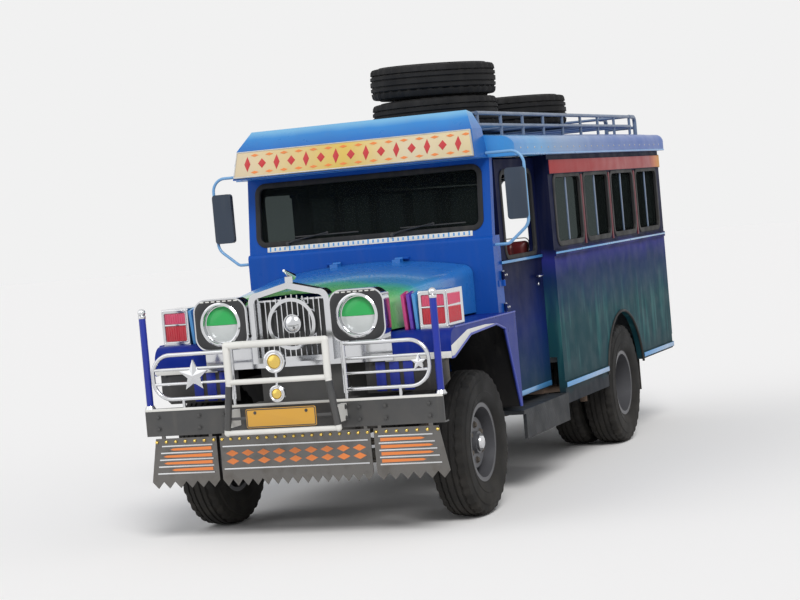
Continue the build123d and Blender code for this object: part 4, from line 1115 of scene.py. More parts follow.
@dataclass
class Glazing:
    """Rubber seals, sliding-glass bars, the windscreen's wipers and the tick strip under it."""

    seal_out: float = 0.022
    seal_in: float = 0.01
    sunk: float = 0.012
    proud: float = 0.006
    wall_x: float = 0.87
    door_x: float = 0.785
    bar_xs: Flat = (0.8565, 0.8645)
    bar_half: float = 0.011
    strip_half: float = 0.66
    tick_reach: float = 0.64
    tick_count: int = 41
    wiper_xs: Flat = (-0.52, 0.16)
    wiper_length: float = 0.46

    def seal(self, shape: Shape, opening: Flat, corner: float, centre: Flat, low: float) -> None:
        """Add a seal round one opening, in the local plane of the wall.

        Args:
            shape: The shape that takes it.
            opening: Width and height of the opening.
            corner: Corner radius of the opening.
            centre: Its centre in the plane.
            low: Height of the wall's face over the plane.
        """
        outlines = []
        for margin in (self.seal_out, -self.seal_in):
            width, height = (size + 2 * margin for size in opening)
            outlines.append(rounded(width, height, corner + margin, 6, centre))
        shape.surround(*outlines, low - self.sunk, low + self.proud, 0.003)

    def build(self) -> None:
        """Make every seal and the parts on the glass."""
        corner = PLAN.window_corner
        for side, name in SIDES:
            kit = Kit(facing_side(side), f"_{name}")
            z, half = PLAN.window_z, PLAN.window[1] / 2 - 0.004
            for y in PLAN.windows():
                self.seal(kit["window_seals"], PLAN.window, corner, (side * y, z), self.wall_x)
                ys = (y - self.bar_half, y + self.bar_half)
                kit["window_bars"].slab(side, self.bar_xs, ys, (z - half, z + half))
            y, z, *opening = PLAN.door_window
            self.seal(kit["door_seal"], opening, corner, (side * y, z), self.door_x)
            kit.finish({"window_seals": SEAL, "window_bars": RACK_PAINT})
            kit.finish({"door_seal": SEAL}, body=f"door_{name}")
        rear = Shape(facing_rear())
        x, z, *opening = PLAN.rear_window
        for side, _ in SIDES:
            self.seal(rear, opening, corner, (side * x, z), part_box("rear_wall")[1].y)
        rear.piece("rear_window_seals", SEAL)
        self.screen()

    def screen(self) -> None:
        """Dress the windscreen."""
        rake = math.radians(PLAN.screen_rake)
        kit = Kit(facing(PLAN.screen_foot, (1, 0, 0), (0, -math.cos(rake), math.sin(rake))))
        self.seal(kit["screen_seal"], PLAN.screen, PLAN.screen_corner, (0, PLAN.screen_up), 0.0)
        foot = PLAN.screen_up - PLAN.screen[1] / 2
        low, high = (-self.strip_half, foot - 0.052, -0.001), (self.strip_half, foot - 0.018, 0.004)
        kit["tick_strip"].block(low, high, 0.0015)
        middle = foot - 0.035
        for i, x in enumerate(spread(-self.tick_reach, self.tick_reach, self.tick_count)):
            tall = 0.009 if i % 4 else 0.013
            low, high = (x - 0.005, middle - tall, 0.003), (x + 0.005, middle + tall, 0.0052)
            kit["strip_ticks"].block(low, high, 0.0005, 1)
        for x in self.wiper_xs:
            self.wiper(kit["wipers"], x, foot)
        kit.finish({"screen_seal": SEAL, "tick_strip": WHITE, "strip_ticks": SKY_BLUE, "wipers": PLASTIC})

    def wiper(self, shape: Shape, x: float, foot: float) -> None:
        """Add one wiper: its pivot, arm, blade, joint and the blade's tip.

        Args:
            shape: The shape that takes it.
            x: Place of its pivot across.
            foot: Height of the glass's lower edge up the screen.
        """
        pivot, joint = (x, foot - 0.008), (x + 0.26, foot + 0.04)
        tip_x, tip_y = x + self.wiper_length * 0.96, foot + 0.0295
        shape.rod((*pivot, -0.004), (*pivot, 0.02), 0.014, 0.011, bevel=0.002)
        shape.pipe([(*pivot, 0.016), (x + 0.05, foot + 0.008, 0.022), (*joint, 0.014)], 0.0045)
        shape.block((x + 0.05, foot + 0.026, 0.0), (x + self.wiper_length, foot + 0.033, 0.013))
        shape.rod((*joint, 0.006), (*joint, 0.017), 0.007)
        shape.rod((tip_x, tip_y, 0.002), (tip_x + 0.02, tip_y, 0.002), 0.003)


@dataclass
class Signs:
    """The leaning sign board over the windscreen and the plate in the guard, both without words."""

    foot: Point = (0.0, -1.478, 1.988)
    outward: Point = (0.0, -0.172, 0.04)
    low_half: float = 0.765
    top_half: float = 0.744
    low: float = 0.01
    top: float = 0.17
    thick: float = 0.014
    pitch: float = 0.096
    plate: Flat = (0.41, 0.104)
    plate_y: float = -2.793
    plate_z: float = 0.686
    strap_xs: Flat = (0.2, 0.294)

    def half(self, up: float) -> float:
        """Half width of the board at a height up its face."""
        return self.low_half + (self.top_half - self.low_half) * (up - self.low) / (self.top - self.low)

    def outline(self, inset: float) -> list[Flat]:
        """The board's outline drawn in by a margin."""
        low, top = self.low + inset, self.top - inset
        right = [(self.half(low) - inset, low), (self.half(top) - inset, top)]
        return [(-right[0][0], low), *right, (-right[1][0], top)]

    def build(self) -> None:
        """Make the board with its border and ornament, and the plate."""
        kit = Kit(facing(self.foot, (1, 0, 0), self.outward))
        kit["sign_board"].panel(self.outline(0.0), 0.0, self.thick - 0.002, 0.003)
        border = kit["sign_border"]
        border.surround(self.outline(0.0), self.outline(0.007), self.thick - 0.004, self.thick, 0.001)
        kit.finish({"sign_board": SIGN_CREAM}, "sign_plates")
        self.ornament(kit)
        kit.finish({"sign_border": STAINLESS, "sign_lozenges": SIGN_RED, "sign_leaves": ORANGE})
        self.number_plate()

    def ornament(self, kit: Kit) -> None:
        """Set a row of lozenges between pairs of leaves along the board."""
        middle = (self.low + self.top) / 2
        depths = (self.thick - 0.003, self.thick - 0.0006)
        for i in range(-7, 8):
            x = i * self.pitch
            wide, tall = (0.02, 0.046) if i % 2 else (0.026, 0.03)
            kit["sign_lozenges"].panel(lozenge(x, middle, wide, tall), *depths, 0.0005)
            for z in (middle - 0.052, middle + 0.052):
                kit["sign_leaves"].panel(lozenge(x + self.pitch / 2, z, 0.026, 0.009), *depths)

    def number_plate(self) -> None:
        """Make the blank number plate with a raised rim on two straps."""
        width, height = self.plate
        place = facing_front(0.0, self.plate_y, self.plate_z)
        kit = Kit(place)
        kit["number_plate"].panel(rounded(width, height, 0.012), -0.005, -0.0012, 0.001)
        rim = kit["plate_rim"]
        outer = rounded(width - 0.006, height - 0.006, 0.01)
        rim.surround(outer, rounded(width - 0.016, height - 0.016, 0.006), -0.002, 0.0, 0.0005)
        for side, _ in SIDES:
            rim.bolt(place @ move(side * 0.15, 0.03, -0.0015), 0.006)
            rim.slab(side, self.strap_xs, (self.plate_y + 0.005, self.plate_y + 0.01), (0.68, 0.696), 0.001)
        kit.finish({"number_plate": PLATE_YELLOW}, "sign_plates")
        kit.finish({"plate_rim": BUMPER})


def lozenge(x: float, z: float, wide: float, tall: float) -> list[Flat]:
    """A lozenge about a centre, given half its width and height."""
    return [(x - wide, z), (x, z - tall), (x + wide, z), (x, z + tall)]


@dataclass
class Lamps:
    """Headlamps with tinted domes, ribbed side lamps on the fenders and tail lamps.

    A box gives the two limits across and the two heights. Profiles give radius and height.
    """

    bezel_r: float = 0.121
    bezel: tuple[Flat, ...] = (
        (PLAN.lamp_r, -0.03), (PLAN.lamp_r, 0.006), (0.106, 0.0095), (0.113, 0.0105), (0.121, 0.005),
        (0.121, -0.001),
    )
    plate: Point = (0.304, 0.269, 0.068)
    mark_reach: float = 0.102
    mark_count: int = 7
    bore_y: float = -2.55
    dish: tuple[Flat, ...] = ((0.0, 0.0012), (0.03, 0.0015), (0.06, 0.003), (0.085, 0.0065), (0.102, 0.012))
    dish_thick: float = 0.0009
    bulb: tuple[Flat, ...] = ((0.0, 0.016), (0.008, 0.0155), (0.014, 0.012), (0.014, 0.001), (0.0, 0.001))
    dome: tuple[Flat, ...] = (
        (0.1032, 0.008), (0.095, 0.0125), (0.08, 0.0185), (0.06, 0.0235), (0.035, 0.0268), (0.0, 0.028)
    )
    split: float = -0.004
    split_gap: float = 0.0006
    side_box: Limits = (0.706, 0.842, 1.1, 1.265)
    side_split: float = 0.58
    side_y: float = -2.4
    side_frame: tuple[Point, Point] = ((0.166, 0.2, 0.012), (0.13, 0.16, 0.008))
    screw_at: Point = (0.074, 0.091, 0.005)
    cheek_x: float = 0.8595
    cheek_ys: Flat = (-2.388, -2.199)
    cheek_ribs: Flat = (-2.3785, -2.208)
    cheek_rib_count: int = 12
    tail_box: Limits = (0.782, 0.84, 0.822, 0.978)

    def build(self) -> None:
        """Make every lamp."""
        kit = Kit()
        dish = [*self.dish, *((r, h - self.dish_thick) for r, h in reversed(self.dish))]
        for side, _ in SIDES:
            face = facing_front(side * PLAN.lamp_x, PLAN.lamp_face_y, PLAN.lamp_z)
            bore = facing_front(side * PLAN.lamp_x, self.bore_y, PLAN.lamp_z)
            kit["headlamp_bezels"].at(face).lathe(self.bezel, 56, closed=True)
            outlines = rounded(*self.plate), ring(self.bezel_r)
            kit["headlamp_faces"].at(face).surround(*outlines, -0.001, 0.0025, 0.001)
            for x in spread(-self.mark_reach, self.mark_reach, self.mark_count):
                low, high = (x - 0.011, 0.1245, 0.001), (x + 0.011, 0.131, 0.0042)
                kit["headlamp_marks"].at(face).block(low, high, 0.0008)
            kit["headlamp_dishes"].at(bore).lathe(dish).lathe(self.bulb, 20)
            kit["headlamp_domes"].at(bore).take(self.lens(-1))
            kit["headlamp_tints"].at(bore).take(self.lens(1))
        kit.finish({
            "headlamp_bezels": CHROME, "headlamp_faces": PLASTIC, "headlamp_marks": WHITE,
            "headlamp_dishes": CHROME,
        })
        kit.finish({"headlamp_domes": CLEAR, "headlamp_tints": GREEN_GLASS}, "lamp_lenses", sharp=60.0)
        self.side_lamps()
        self.tail_lamps()

    def lens(self, half: int) -> bmesh.types.BMesh:
        """The upper or lower part of a domed lens.

        Args:
            half: 1 for the tinted upper part, -1 for the clear lower part.

        Returns:
            The closed mesh, about the lamp's axis.
        """
        inside = [(max(0.0, r - 0.002), h - 0.0028) for r, h in reversed(self.dome)]
        lens = Shape().lathe([*self.dome, *inside], 56, closed=True).mesh
        plane = {"plane_co": (0, self.split + half * self.split_gap, 0), "plane_no": (0, -half, 0)}
        cut = bmesh.ops.bisect_plane(lens, geom=everything(lens), clear_outer=True, **plane)["geom_cut"]
        bmesh.ops.edgeloop_fill(lens, edges=[item for item in cut if isinstance(item, bmesh.types.BMEdge)])
        return lens

    def side_lamps(self) -> None:
        """Make the two-chamber side lamps in their bright frames, with a ribbed cheek lens outside."""
        x0, x1, z0, z1 = self.side_box
        split, middle = z0 + self.side_split * (z1 - z0), (z0 + z1) / 2
        kit = Kit()
        for side, _ in SIDES:
            x, cheek = side * (x0 + x1) / 2, side * self.cheek_x
            for name, low, high in (("low", z0 + 0.003, split - 0.004), ("top", split + 0.004, z1 - 0.003)):
                lens = kit[f"side_lens_{name}"].at(facing_front(x, self.side_y + 0.006))
                lens.block((-0.065, low, -0.004), (0.065, high, 0.006), 0.003)
                for rib in spread(-0.056, 0.056, 9):
                    lens.rod((rib, low + 0.004, 0.005), (rib, high - 0.004, 0.005), 0.005, sides=12)
                lens.slab(side, (0.853, self.cheek_x), self.cheek_ys, (low, high), 0.0025)
                for y in spread(*self.cheek_ribs, self.cheek_rib_count):
                    lens.rod((cheek, y, low + 0.004), (cheek, y, high - 0.004), 0.0032, sides=10)
            place = facing_front(x, self.side_y, middle)
            frames = kit["side_lamp_frames"].at(place)
            frames.surround(*(rounded(*outline) for outline in self.side_frame), -0.003, 0.006, 0.002)
            low, high = (-0.067, split - middle - 0.004, -0.004), (0.067, split - middle + 0.004, 0.006)
            frames.block(low, high, 0.0015)
            corner_x, corner_z, proud = self.screw_at
            for across, up in ((-1, -1), (-1, 1), (1, -1), (1, 1)):
                screw = place @ move(across * corner_x, up * corner_z, proud)
                frames.at(screw).stud(0.0, 0.003, 0.005, 0.0042, 12)
        kit.finish({"side_lens_low": RED_LENS, "side_lens_top": PINK_LENS}, "lamp_lenses")
        kit.finish({"side_lamp_frames": CHROME})

    def tail_lamps(self) -> None:
        """Make the three-chamber tail lamps."""
        x0, x1, z0, z1 = self.tail_box
        y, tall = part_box("lamp_housings")[1].y - 0.006, z1 - z0
        kit = Kit()
        for side, _ in SIDES:
            for name, start, end in (("stop", 0.0, 0.5), ("turn", 0.5, 0.78), ("reverse", 0.78, 1.0)):
                lens = kit[f"tail_lens_{name}"].at(facing_rear(side * (x0 + x1) / 2, y, z0))
                low, high = start * tall + 0.001, end * tall - 0.001
                lens.block((-0.028, low, -0.004), (0.028, high, 0.007))
                for rib in spread(-0.02, 0.02, 5):
                    lens.rod((rib, low + 0.003, 0.0065), (rib, high - 0.003, 0.0065), 0.0032, sides=10)
        finishes = {"tail_lens_stop": RED_LENS, "tail_lens_turn": AMBER_LENS, "tail_lens_reverse": CLEAR}
        kit.finish(finishes, "lamp_lenses")


@dataclass
class FrontTrim:
    """Painted fins, fender beads whose lighter blue is a painted highlight, splash sheets whose black is
    partly painted shade, bumper strip, post sleeves, stars and apron ornament.

    The parts of a round give the share of its radius and the height.
    """

    fin_xs: tuple[float, ...] = (0.6, 0.632, 0.664)
    fin: tuple[Flat, ...] = ((-2.3915, 1.081), (-2.289, 1.081), (-2.3385, 1.287), (-2.4215, 1.2715))
    arch: tuple[Flat, ...] = (
        (-1.368, 0.532), (-1.55, 1.0), (-1.7, 1.038), (-2.15, 1.02), (-2.44, 0.925), (-2.48, 0.925)
    )
    wedge: tuple[Flat, ...] = (
        (-2.479, 0.932), (-2.43, 0.932), (-2.148, 1.024), (-1.72, 1.043), (-1.9, 1.052), (-2.2, 1.05),
        (-2.479, 0.988),
    )
    fender_x: float = 0.884
    splash_xs: Flat = (0.38, 0.86)
    splash_zs: Flat = (0.757, 0.928)
    splash_y: float = -2.471
    stiffener_xs: Point = (0.44, 0.52, 0.6)
    stiffener_wide: float = 0.056
    splash_bolt_xs: Point = (0.42, 0.68, 0.83)
    bumper_y: float = -2.66
    bumper_top: float = 0.75
    bumper_half: float = 0.879
    bumper_bolt_xs: tuple[float, ...] = (-0.8, -0.55, -0.4, 0.4, 0.55, 0.8)
    bumper_bolt_zs: Flat = (0.64, 0.705)
    guard_bolt_at: Flat = (0.33, -2.68)
    guard_bolt_zs: Flat = (0.652, 0.712)
    post_x: float = 0.86
    post_y: float = -2.63
    sleeve_r: float = 0.0192
    leg: tuple[Point, Point] = ((0.2925, -2.785, 0.865), (0.323, -2.785, 0.628))
    stars: tuple[Point, ...] = ((-0.56, 0.925, 0.088), (0.76, 0.925, 0.044))
    star_y: float = -2.662
    round_at: Flat = (-0.01, -2.791)
    rounds: tuple[Flat, ...] = ((0.985, 0.06), (0.812, 0.044))
    round_ring: tuple[Flat, ...] = (
        (0.6, 0.0), (0.66, 0.006), (0.78, 0.003), (0.9, 0.008), (1.03, 0.004), (1.03, -0.008), (0.6, -0.002)
    )
    round_core: tuple[Flat, ...] = (
        (0.0, 0.011), (0.3, 0.0095), (0.55, 0.005), (0.62, -0.0005), (0.0, -0.0005)
    )
    boss: tuple[Flat, ...] = (
        (0.0, 0.018), (0.02, 0.0165), (0.038, 0.01), (0.046, 0.002), (0.052, 0.002), (0.052, -0.001),
        (0.0, -0.001),
    )
    boss_at: Point = (0.0, -2.533, 1.165)
    apron_y: float = -2.648
    strip_z: float = 0.39
    strip_pitch: float = 0.038
    strip_count: int = 5
    middle_half: float = 0.43
    middle_zs: Flat = (0.398, 0.522)
    lozenge_reach: float = 0.376
    lozenge_zs: Flat = (0.443, 0.487)
    stud_rows: tuple[tuple[float, float, int], ...] = ((-0.83, -0.48, 7), (-0.43, 0.43, 17), (0.48, 0.83, 7))
    stud_z: float = 0.566

    def build(self) -> None:
        """Dress the front."""
        self.fins()
        self.beads()
        self.splash_and_shade_panels()
        self.bumper()
        self.ornaments()
        self.apron()

    def fins(self) -> None:
        """Cover the upright fins beside the headlamps in three colours."""
        kit, finishes = Kit(), {"fins_pink": PINK, "fins_purple": PURPLE, "fins_sky": SKY_BLUE}
        for side, _ in SIDES:
            for x, name in zip(self.fin_xs, finishes):
                kit[name].at(facing_side(side)).panel(sided(side, self.fin), x - 0.0014, x + 0.0154, 0.001)
        kit.finish(finishes, slot=Slot.BLUE)

    def beads(self) -> None:
        """Run a bead in a lighter blue, a painted highlight, along each wheel opening and top edge, and a
        pale flash over the front of the arch.
        """
        kit = Kit()
        for side, _ in SIDES:
            x = side * self.fender_x
            kit["fender_beads"].pipe([(x, y, z) for y, z in self.arch], 0.007)
            # The bead along the top edge is a painted highlight in lighter blue.
            kit["fender_beads"].pipe([(x, -2.4, 1.081), (x, -1.345, 1.081)], 0.005)
            flash = kit["fender_flashes"]
            flash.slab(side, (0.502, self.fender_x), (-2.4825, -2.4785), (0.922, 0.958), 0.001)
            flash.at(facing_side(side)).panel(sided(side, self.wedge), 0.8835, 0.8865, 0.0008)
        kit.finish({"fender_beads": HIGHLIGHT_BLUE, "fender_flashes": WHITE})

    def splash_and_shade_panels(self) -> None:
        """Hang a black sheet with blue stiffeners from each fender's front lip down to the bumper; the
        sheet's black is partly painted shade under the fenders.
        """
        (near, far), (low, high), y = self.splash_xs, self.splash_zs, self.splash_y
        outline = [(near, low), (far - 0.05, low), (far, low + 0.05), (far, high), (near, high)]
        kit = Kit(facing_front(y=y))
        for side, _ in SIDES:
            # The sheet's black is partly painted shade: it stands for the shade under the fenders.
            kit["splash_and_shade_sheets"].panel(sided(side, outline), -0.0015, 0.0015, 0.0005)
            for x in self.stiffener_xs:
                ys, zs = (y - 0.0065, y - 0.001), (low + 0.008, high - 0.006)
                kit["splash_stiffeners"].slab(side, (x, x + self.stiffener_wide), ys, zs, 0.0025)
            for x in self.splash_bolt_xs:
                kit["splash_bolts"].bolt(facing_front(side * x, y - 0.0015, high - 0.012), 0.007)
        kit.finish({"splash_and_shade_sheets": BLACK_PAINT, "splash_stiffeners": POST_BLUE, "splash_bolts": BUMPER})

    def bumper(self) -> None:
        """Add the bumper's light edge, its bolts and the sleeves of the posts and the guard's legs."""
        kit, y, top = Kit(), self.bumper_y, self.bumper_top
        low, high = (-self.bumper_half, y - 0.002, top - 0.012), (self.bumper_half, y + 0.012, top + 0.002)
        kit["bumper_edge"].block(low, high)
        for x in self.bumper_bolt_xs:
            for z in self.bumper_bolt_zs:
                kit["bumper_bolts"].bolt(facing_front(x, y, z), 0.01)
        for side, _ in SIDES:
            for z in self.guard_bolt_zs:
                kit["bumper_bolts"].bolt(facing_side(side, *self.guard_bolt_at, z))
            post = (side * self.post_x, self.post_y)
            kit["post_sleeves"].rod((*post, top), (*post, 1.262), self.sleeve_r, sides=24, bevel=0.002)
            tips = kit["post_tips"].ball((*post, 1.288), 0.0225)
            tips.rod((*post, 1.255), (*post, 1.272), 0.0215, sides=24, bevel=0.002)
            tips.rod((*post, top), (*post, top + 0.02), 0.032, 0.022, 24)
            leg = [(side * x, y, z) for x, y, z in self.leg]
            kit["guard_leg_sleeves"].rod(*leg, self.sleeve_r, sides=24)
        kit.finish({
            "bumper_edge": WHITE, "bumper_bolts": BUMPER, "post_sleeves": POST_BLUE, "post_tips": CHROME,
            "guard_leg_sleeves": BUMPER,
        })

    def ornaments(self) -> None:
        """Raise faceted stars and ringed rounds over the plain ones, and a boss in the grille ring."""
        kit = Kit()
        for x, z, radius in self.stars:
            reaches = (radius * 1.03, radius * 0.45)
            outline = [polar(reaches[i % 2], math.pi / 2 + i * math.pi / 5) for i in range(10)]
            star = kit["faceted_stars"].at(facing_front(x, self.star_y, z))
            star.panel(outline, -0.0105, 0.001, peak=radius * 0.18)
        kit.finish({"faceted_stars": CHROME}, sharp=10.0)
        for z, radius in self.rounds:
            place = facing_front(*self.round_at, z)
            kit["ornament_rings"].at(place).lathe(scaled(radius, self.round_ring), 40, closed=True)
            kit["ornament_cores"].at(place).lathe(scaled(radius, self.round_core), 32)
        kit["grille_boss"].at(facing_front(*self.boss_at)).lathe(self.boss, 40)
        kit.finish({"ornament_rings": CHROME, "ornament_cores": GOLD, "grille_boss": CHROME})

    def apron(self) -> None:
        """Fix bright strips, orange bars, lozenges and gold studs on the three panels."""
        kit = Kit(facing_front(y=self.apron_y))
        strips, bars, studs = kit["apron_strips"], kit["apron_bars"], kit["apron_studs"].at(IDENTITY)
        for side, _ in SIDES:
            for i in range(self.strip_count):
                z = self.strip_z + i * self.strip_pitch
                x_low, x_high = sorted((side * 0.49, side * (0.84 - 0.01 * i)))
                strips.block((x_low, z - 0.004, -0.001), (x_high, z + 0.004, 0.005), 0.0015)
            for i in range(self.strip_count - 1):
                z, tip = self.strip_z + (i + 0.5) * self.strip_pitch, 0.8 - 0.045 * abs(i - 1.5)
                bar = [(0.5, -0.009), (tip, -0.006), (tip + 0.02, 0), (tip, 0.006), (0.5, 0.009)]
                bars.panel([(side * x, z + up) for x, up in bar], -0.001, 0.002)
        for x in spread(-self.lozenge_reach, self.lozenge_reach, 9):
            for z in self.lozenge_zs:
                bars.panel(lozenge(x, z, 0.038, 0.018), -0.001, 0.002)
        for z in self.middle_zs:
            strips.block((-self.middle_half, z, -0.001), (self.middle_half, z + 0.008, 0.005), 0.0015)
        for row in self.stud_rows:
            for x in spread(*row):
                studs.ball((x, self.apron_y - 0.002, self.stud_z), 0.0095, 14)
        kit.finish({"apron_strips": CHROME, "apron_bars": ORANGE, "apron_studs": GOLD})


@dataclass
class BodyTrim:
    """Bands, pillar strips, arch lips, gutters, rivets, mirror heads and door furniture."""

    band: Flat = (1.866, 1.951)
    rail: Flat = (0.533, 0.563)
    line: Flat = (1.366, 1.378)
    door_line: Flat = (1.356, 1.372)
    pillar: Flat = (1.4, 1.852)
    edge: float = 0.0012
    arch_r: float = 0.474
    arch_z: float = 0.425
    handle: tuple[Flat, ...] = ((-0.51, 0.8), (-0.51, 0.8165), (-0.56, 0.8185), (-0.628, 0.8165))
    hinge_zs: Point = (0.8, 1.1, 1.29)
    hinge_ys: Flat = (-1.185, -1.15)
    gutter_at: Flat = (0.9055, 1.992)
    rivet_at: Flat = (0.905, 2.03)
    rivet_pitch: float = 0.14
    mirror: Flat = (0.124, 0.3)
    mirror_at: Point = (0.944, -1.276, 1.765)

    def build(self) -> None:
        """Dress both sides and the roof."""
        for side, name in SIDES:
            self.bands(side, name)
            self.door(side, name)
            self.mirror_head(side, name)
        self.roof()

    def bands(self, side: int, name: str) -> None:
        """Lay the red band, the light rails, the pillar strips and the arch lip on one side."""
        low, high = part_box(f"side_wall_{name}")
        ends, arch_y = (low.y + 0.004, high.y - 0.004), PLAN.rear_axle_y
        kit = Kit(tail=f"_{name}")
        kit["red_band"].slab(side, (0.88, 0.8845), ends, self.band, self.edge)
        for ys in ((ends[0], arch_y - self.arch_r), (arch_y + self.arch_r, ends[1])):
            kit["light_rails"].slab(side, (0.878, 0.8825), ys, self.rail, self.edge)
        kit["light_rails"].slab(side, (0.88, 0.8845), ends, self.line, self.edge)
        half = PLAN.window[0] / 2 + 0.03
        for y, following in zip(PLAN.windows(), PLAN.windows()[1:]):
            ys = (y + half, following - half)
            kit["pillar_strips"].slab(side, (0.8685, 0.8745), ys, self.pillar, self.edge)
        turns = [polar(self.arch_r, math.radians(turn)) for turn in spread(10, 170, 41)]
        kit["arch_lip"].pipe([(side * 0.872, arch_y + y, self.arch_z + z) for y, z in turns], 0.009)
        finishes = {"red_band": BAND_RED, "light_rails": SKY_BLUE, "pillar_strips": DARK_RED}
        kit.finish(finishes | {"arch_lip": SEAL})

    def door(self, side: int, name: str) -> None:
        """Give a door its handle, lock, hinge caps and strips."""
        low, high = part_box(f"door_{name}")
        kit = Kit(facing_side(side), f"_{name}")
        bright = kit["door_furniture"].pipe([(side * y, 1.245, x) for y, x in self.handle], 0.0085)
        bright.rod((side * -0.5175, 1.195, 0.784), (side * -0.5175, 1.195, 0.791), 0.013, 0.011)
        for z in self.hinge_zs:
            for up in (-0.0225, 0.0225):
                bright.at(move(side * 0.796, -1.23, z)).stud(up, up * 1.25, 0.0105, 0.007, 16)
            for y in self.hinge_ys:
                bright.at(facing_side(side, 0.7915, y, z)).stud(0.0, 0.003, 0.007, 0.005, 14)
        ys = (low.y + 0.006, high.y - 0.004)
        kit["door_strip"].slab(side, (0.784, 0.788), ys, (low.z + 0.004, low.z + 0.034), self.edge)
        kit["door_strip"].slab(side, (0.794, 0.7965), ys, self.door_line, self.edge)
        kit.finish({"door_furniture": CHROME, "door_strip": SKY_BLUE}, body=f"door_{name}")

    def mirror_head(self, side: int, name: str) -> None:
        """Wrap the plain mirror block in a shell with a glass on its rear face."""
        (width, height), (x, y, z) = self.mirror, self.mirror_at
        kit = Kit(facing_rear(side * x, y, z), f"_{name}")
        outer, inner = rounded(width, height, 0.02), rounded(width - 0.016, height - 0.016, 0.014)
        kit["mirror_shell"].panel(outer, -0.034, -0.004, 0.006).surround(outer, inner, -0.005, 0.002, 0.0015)
        kit["mirror_glass"].panel(rounded(width - 0.014, height - 0.014, 0.014), -0.004, -0.0005)
        kit.finish({"mirror_shell": SHELL_GREY, "mirror_glass": MIRROR})

    def roof(self) -> None:
        """Run gutters and rivets along the eaves."""
        low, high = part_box("roof")
        start, kit = low.y + 0.16, Kit()
        (gutter_x, gutter_z), (rivet_x, rivet_z) = self.gutter_at, self.rivet_at
        for side, _ in SIDES:
            ends = [(side * gutter_x, y, gutter_z) for y in (start, high.y - 0.01)]
            kit["gutters"].pipe(ends, 0.006)
            for i in range(int((high.y - start) / self.rivet_pitch)):
                place = facing_side(side, rivet_x, start + (i + 0.5) * self.rivet_pitch, rivet_z)
                kit["eave_rivets"].at(place).stud(-0.001, 0.003, 0.0065, 0.004, 10)
        kit.finish({"gutters": SKY_BLUE, "eave_rivets": STAINLESS})


@dataclass
class Cabin:
    """Gauges, levers, pedals, grab rails and the wheel's hub."""

    dash_at: Point = (0.37, -1.205, 1.4)
    gauges: tuple[Flat, ...] = ((-0.12, 0.042), (0.0, 0.048), (0.12, 0.042))
    gauge_rim: tuple[Flat, ...] = ((1.0, -0.001), (1.0, 0.006), (0.92, 0.008), (0.86, 0.003), (0.86, -0.001))
    gauge_dial: tuple[Flat, ...] = ((0.0, 0.0015), (0.87, 0.0015), (0.87, -0.001), (0.0, -0.001))
    pedal_xs: Point = (0.24, 0.37, 0.5)
    hub: tuple[Flat, ...] = (
        (0.0, 0.062), (0.02, 0.06), (0.032, 0.054), (0.038, 0.045), (0.038, 0.03), (0.0, 0.03)
    )
    roof_rail: tuple[Flat, ...] = (
        (-0.2, 2.12), (-0.2, 1.93), (-0.12, 1.86), (2.1, 1.86), (2.18, 1.93), (2.18, 2.12)
    )
    tail_rail: tuple[Flat, ...] = ((2.436, 1.55), (2.475, 1.54), (2.475, 1.06), (2.436, 1.05))

    def build(self) -> None:
        """Make the loose fittings of the cabin."""
        self.dash()
        self.controls()
        self.rails()
        hub = Shape(facing(PLAN.column_top, (1, 0, 0), PLAN.column_axis))
        hub.lathe(self.hub, 32).piece("wheel_hub_cap", CHROME, "steering_wheel")

    def dash(self) -> None:
        """Set three gauges in a panel."""
        face = facing_rear(*self.dash_at)
        kit = Kit(face)
        kit["gauge_panel"].panel(rounded(0.42, 0.13, 0.03), -0.001, 0.012, 0.004)
        for x, radius in self.gauges:
            place = face @ move(x, 0.0, 0.012)
            kit["gauge_rims"].at(place).lathe(scaled(radius, self.gauge_rim), 36, closed=True)
            dial = kit["gauge_dials"].at(place).lathe(scaled(radius, self.gauge_dial), 36)
            dial.stud(0.001, 0.005, 0.004, 0.004)
        kit.finish({"gauge_panel": DASH, "gauge_rims": CHROME, "gauge_dials": WHITE})

    def controls(self) -> None:
        """Make the gear lever in its boot and the pedals."""
        levers = Shape().rod((0.0, -0.98, 0.722), (0.0, -0.98, 0.75), 0.06, 0.035, 24)
        levers.pipe([(0.0, -0.98, 0.74), (0.01, -0.96, 0.86), (0.03, -0.9, 1.02)], 0.009)
        levers.ball((0.031, -0.897, 1.035), 0.026)
        for x in self.pedal_xs:
            levers.pipe([(x, -1.31, 0.98), (x, -1.25, 0.9), (x, -1.2, 0.86)], 0.008)
            levers.block((x - 0.03, -1.205, 0.83), (x + 0.03, -1.193, 0.89), 0.004)
        levers.piece("levers_and_pedals", PLASTIC)

    def rails(self) -> None:
        """Hang the grab rails from the roof and stand one at each side of the entrance."""
        rails = Shape()
        for x in (-0.36, 0.36):
            rails.pipe([(x, y, z) for y, z in self.roof_rail], 0.013)
            for y in (0.6, 1.35):
                rails.pipe([(x, y, 2.12), (x, y, 1.86)], 0.01)
        for side, _ in SIDES:
            rails.pipe([(side * 0.415, y, z) for y, z in self.tail_rail], 0.012)
        rails.piece("grab_rails", STAINLESS)


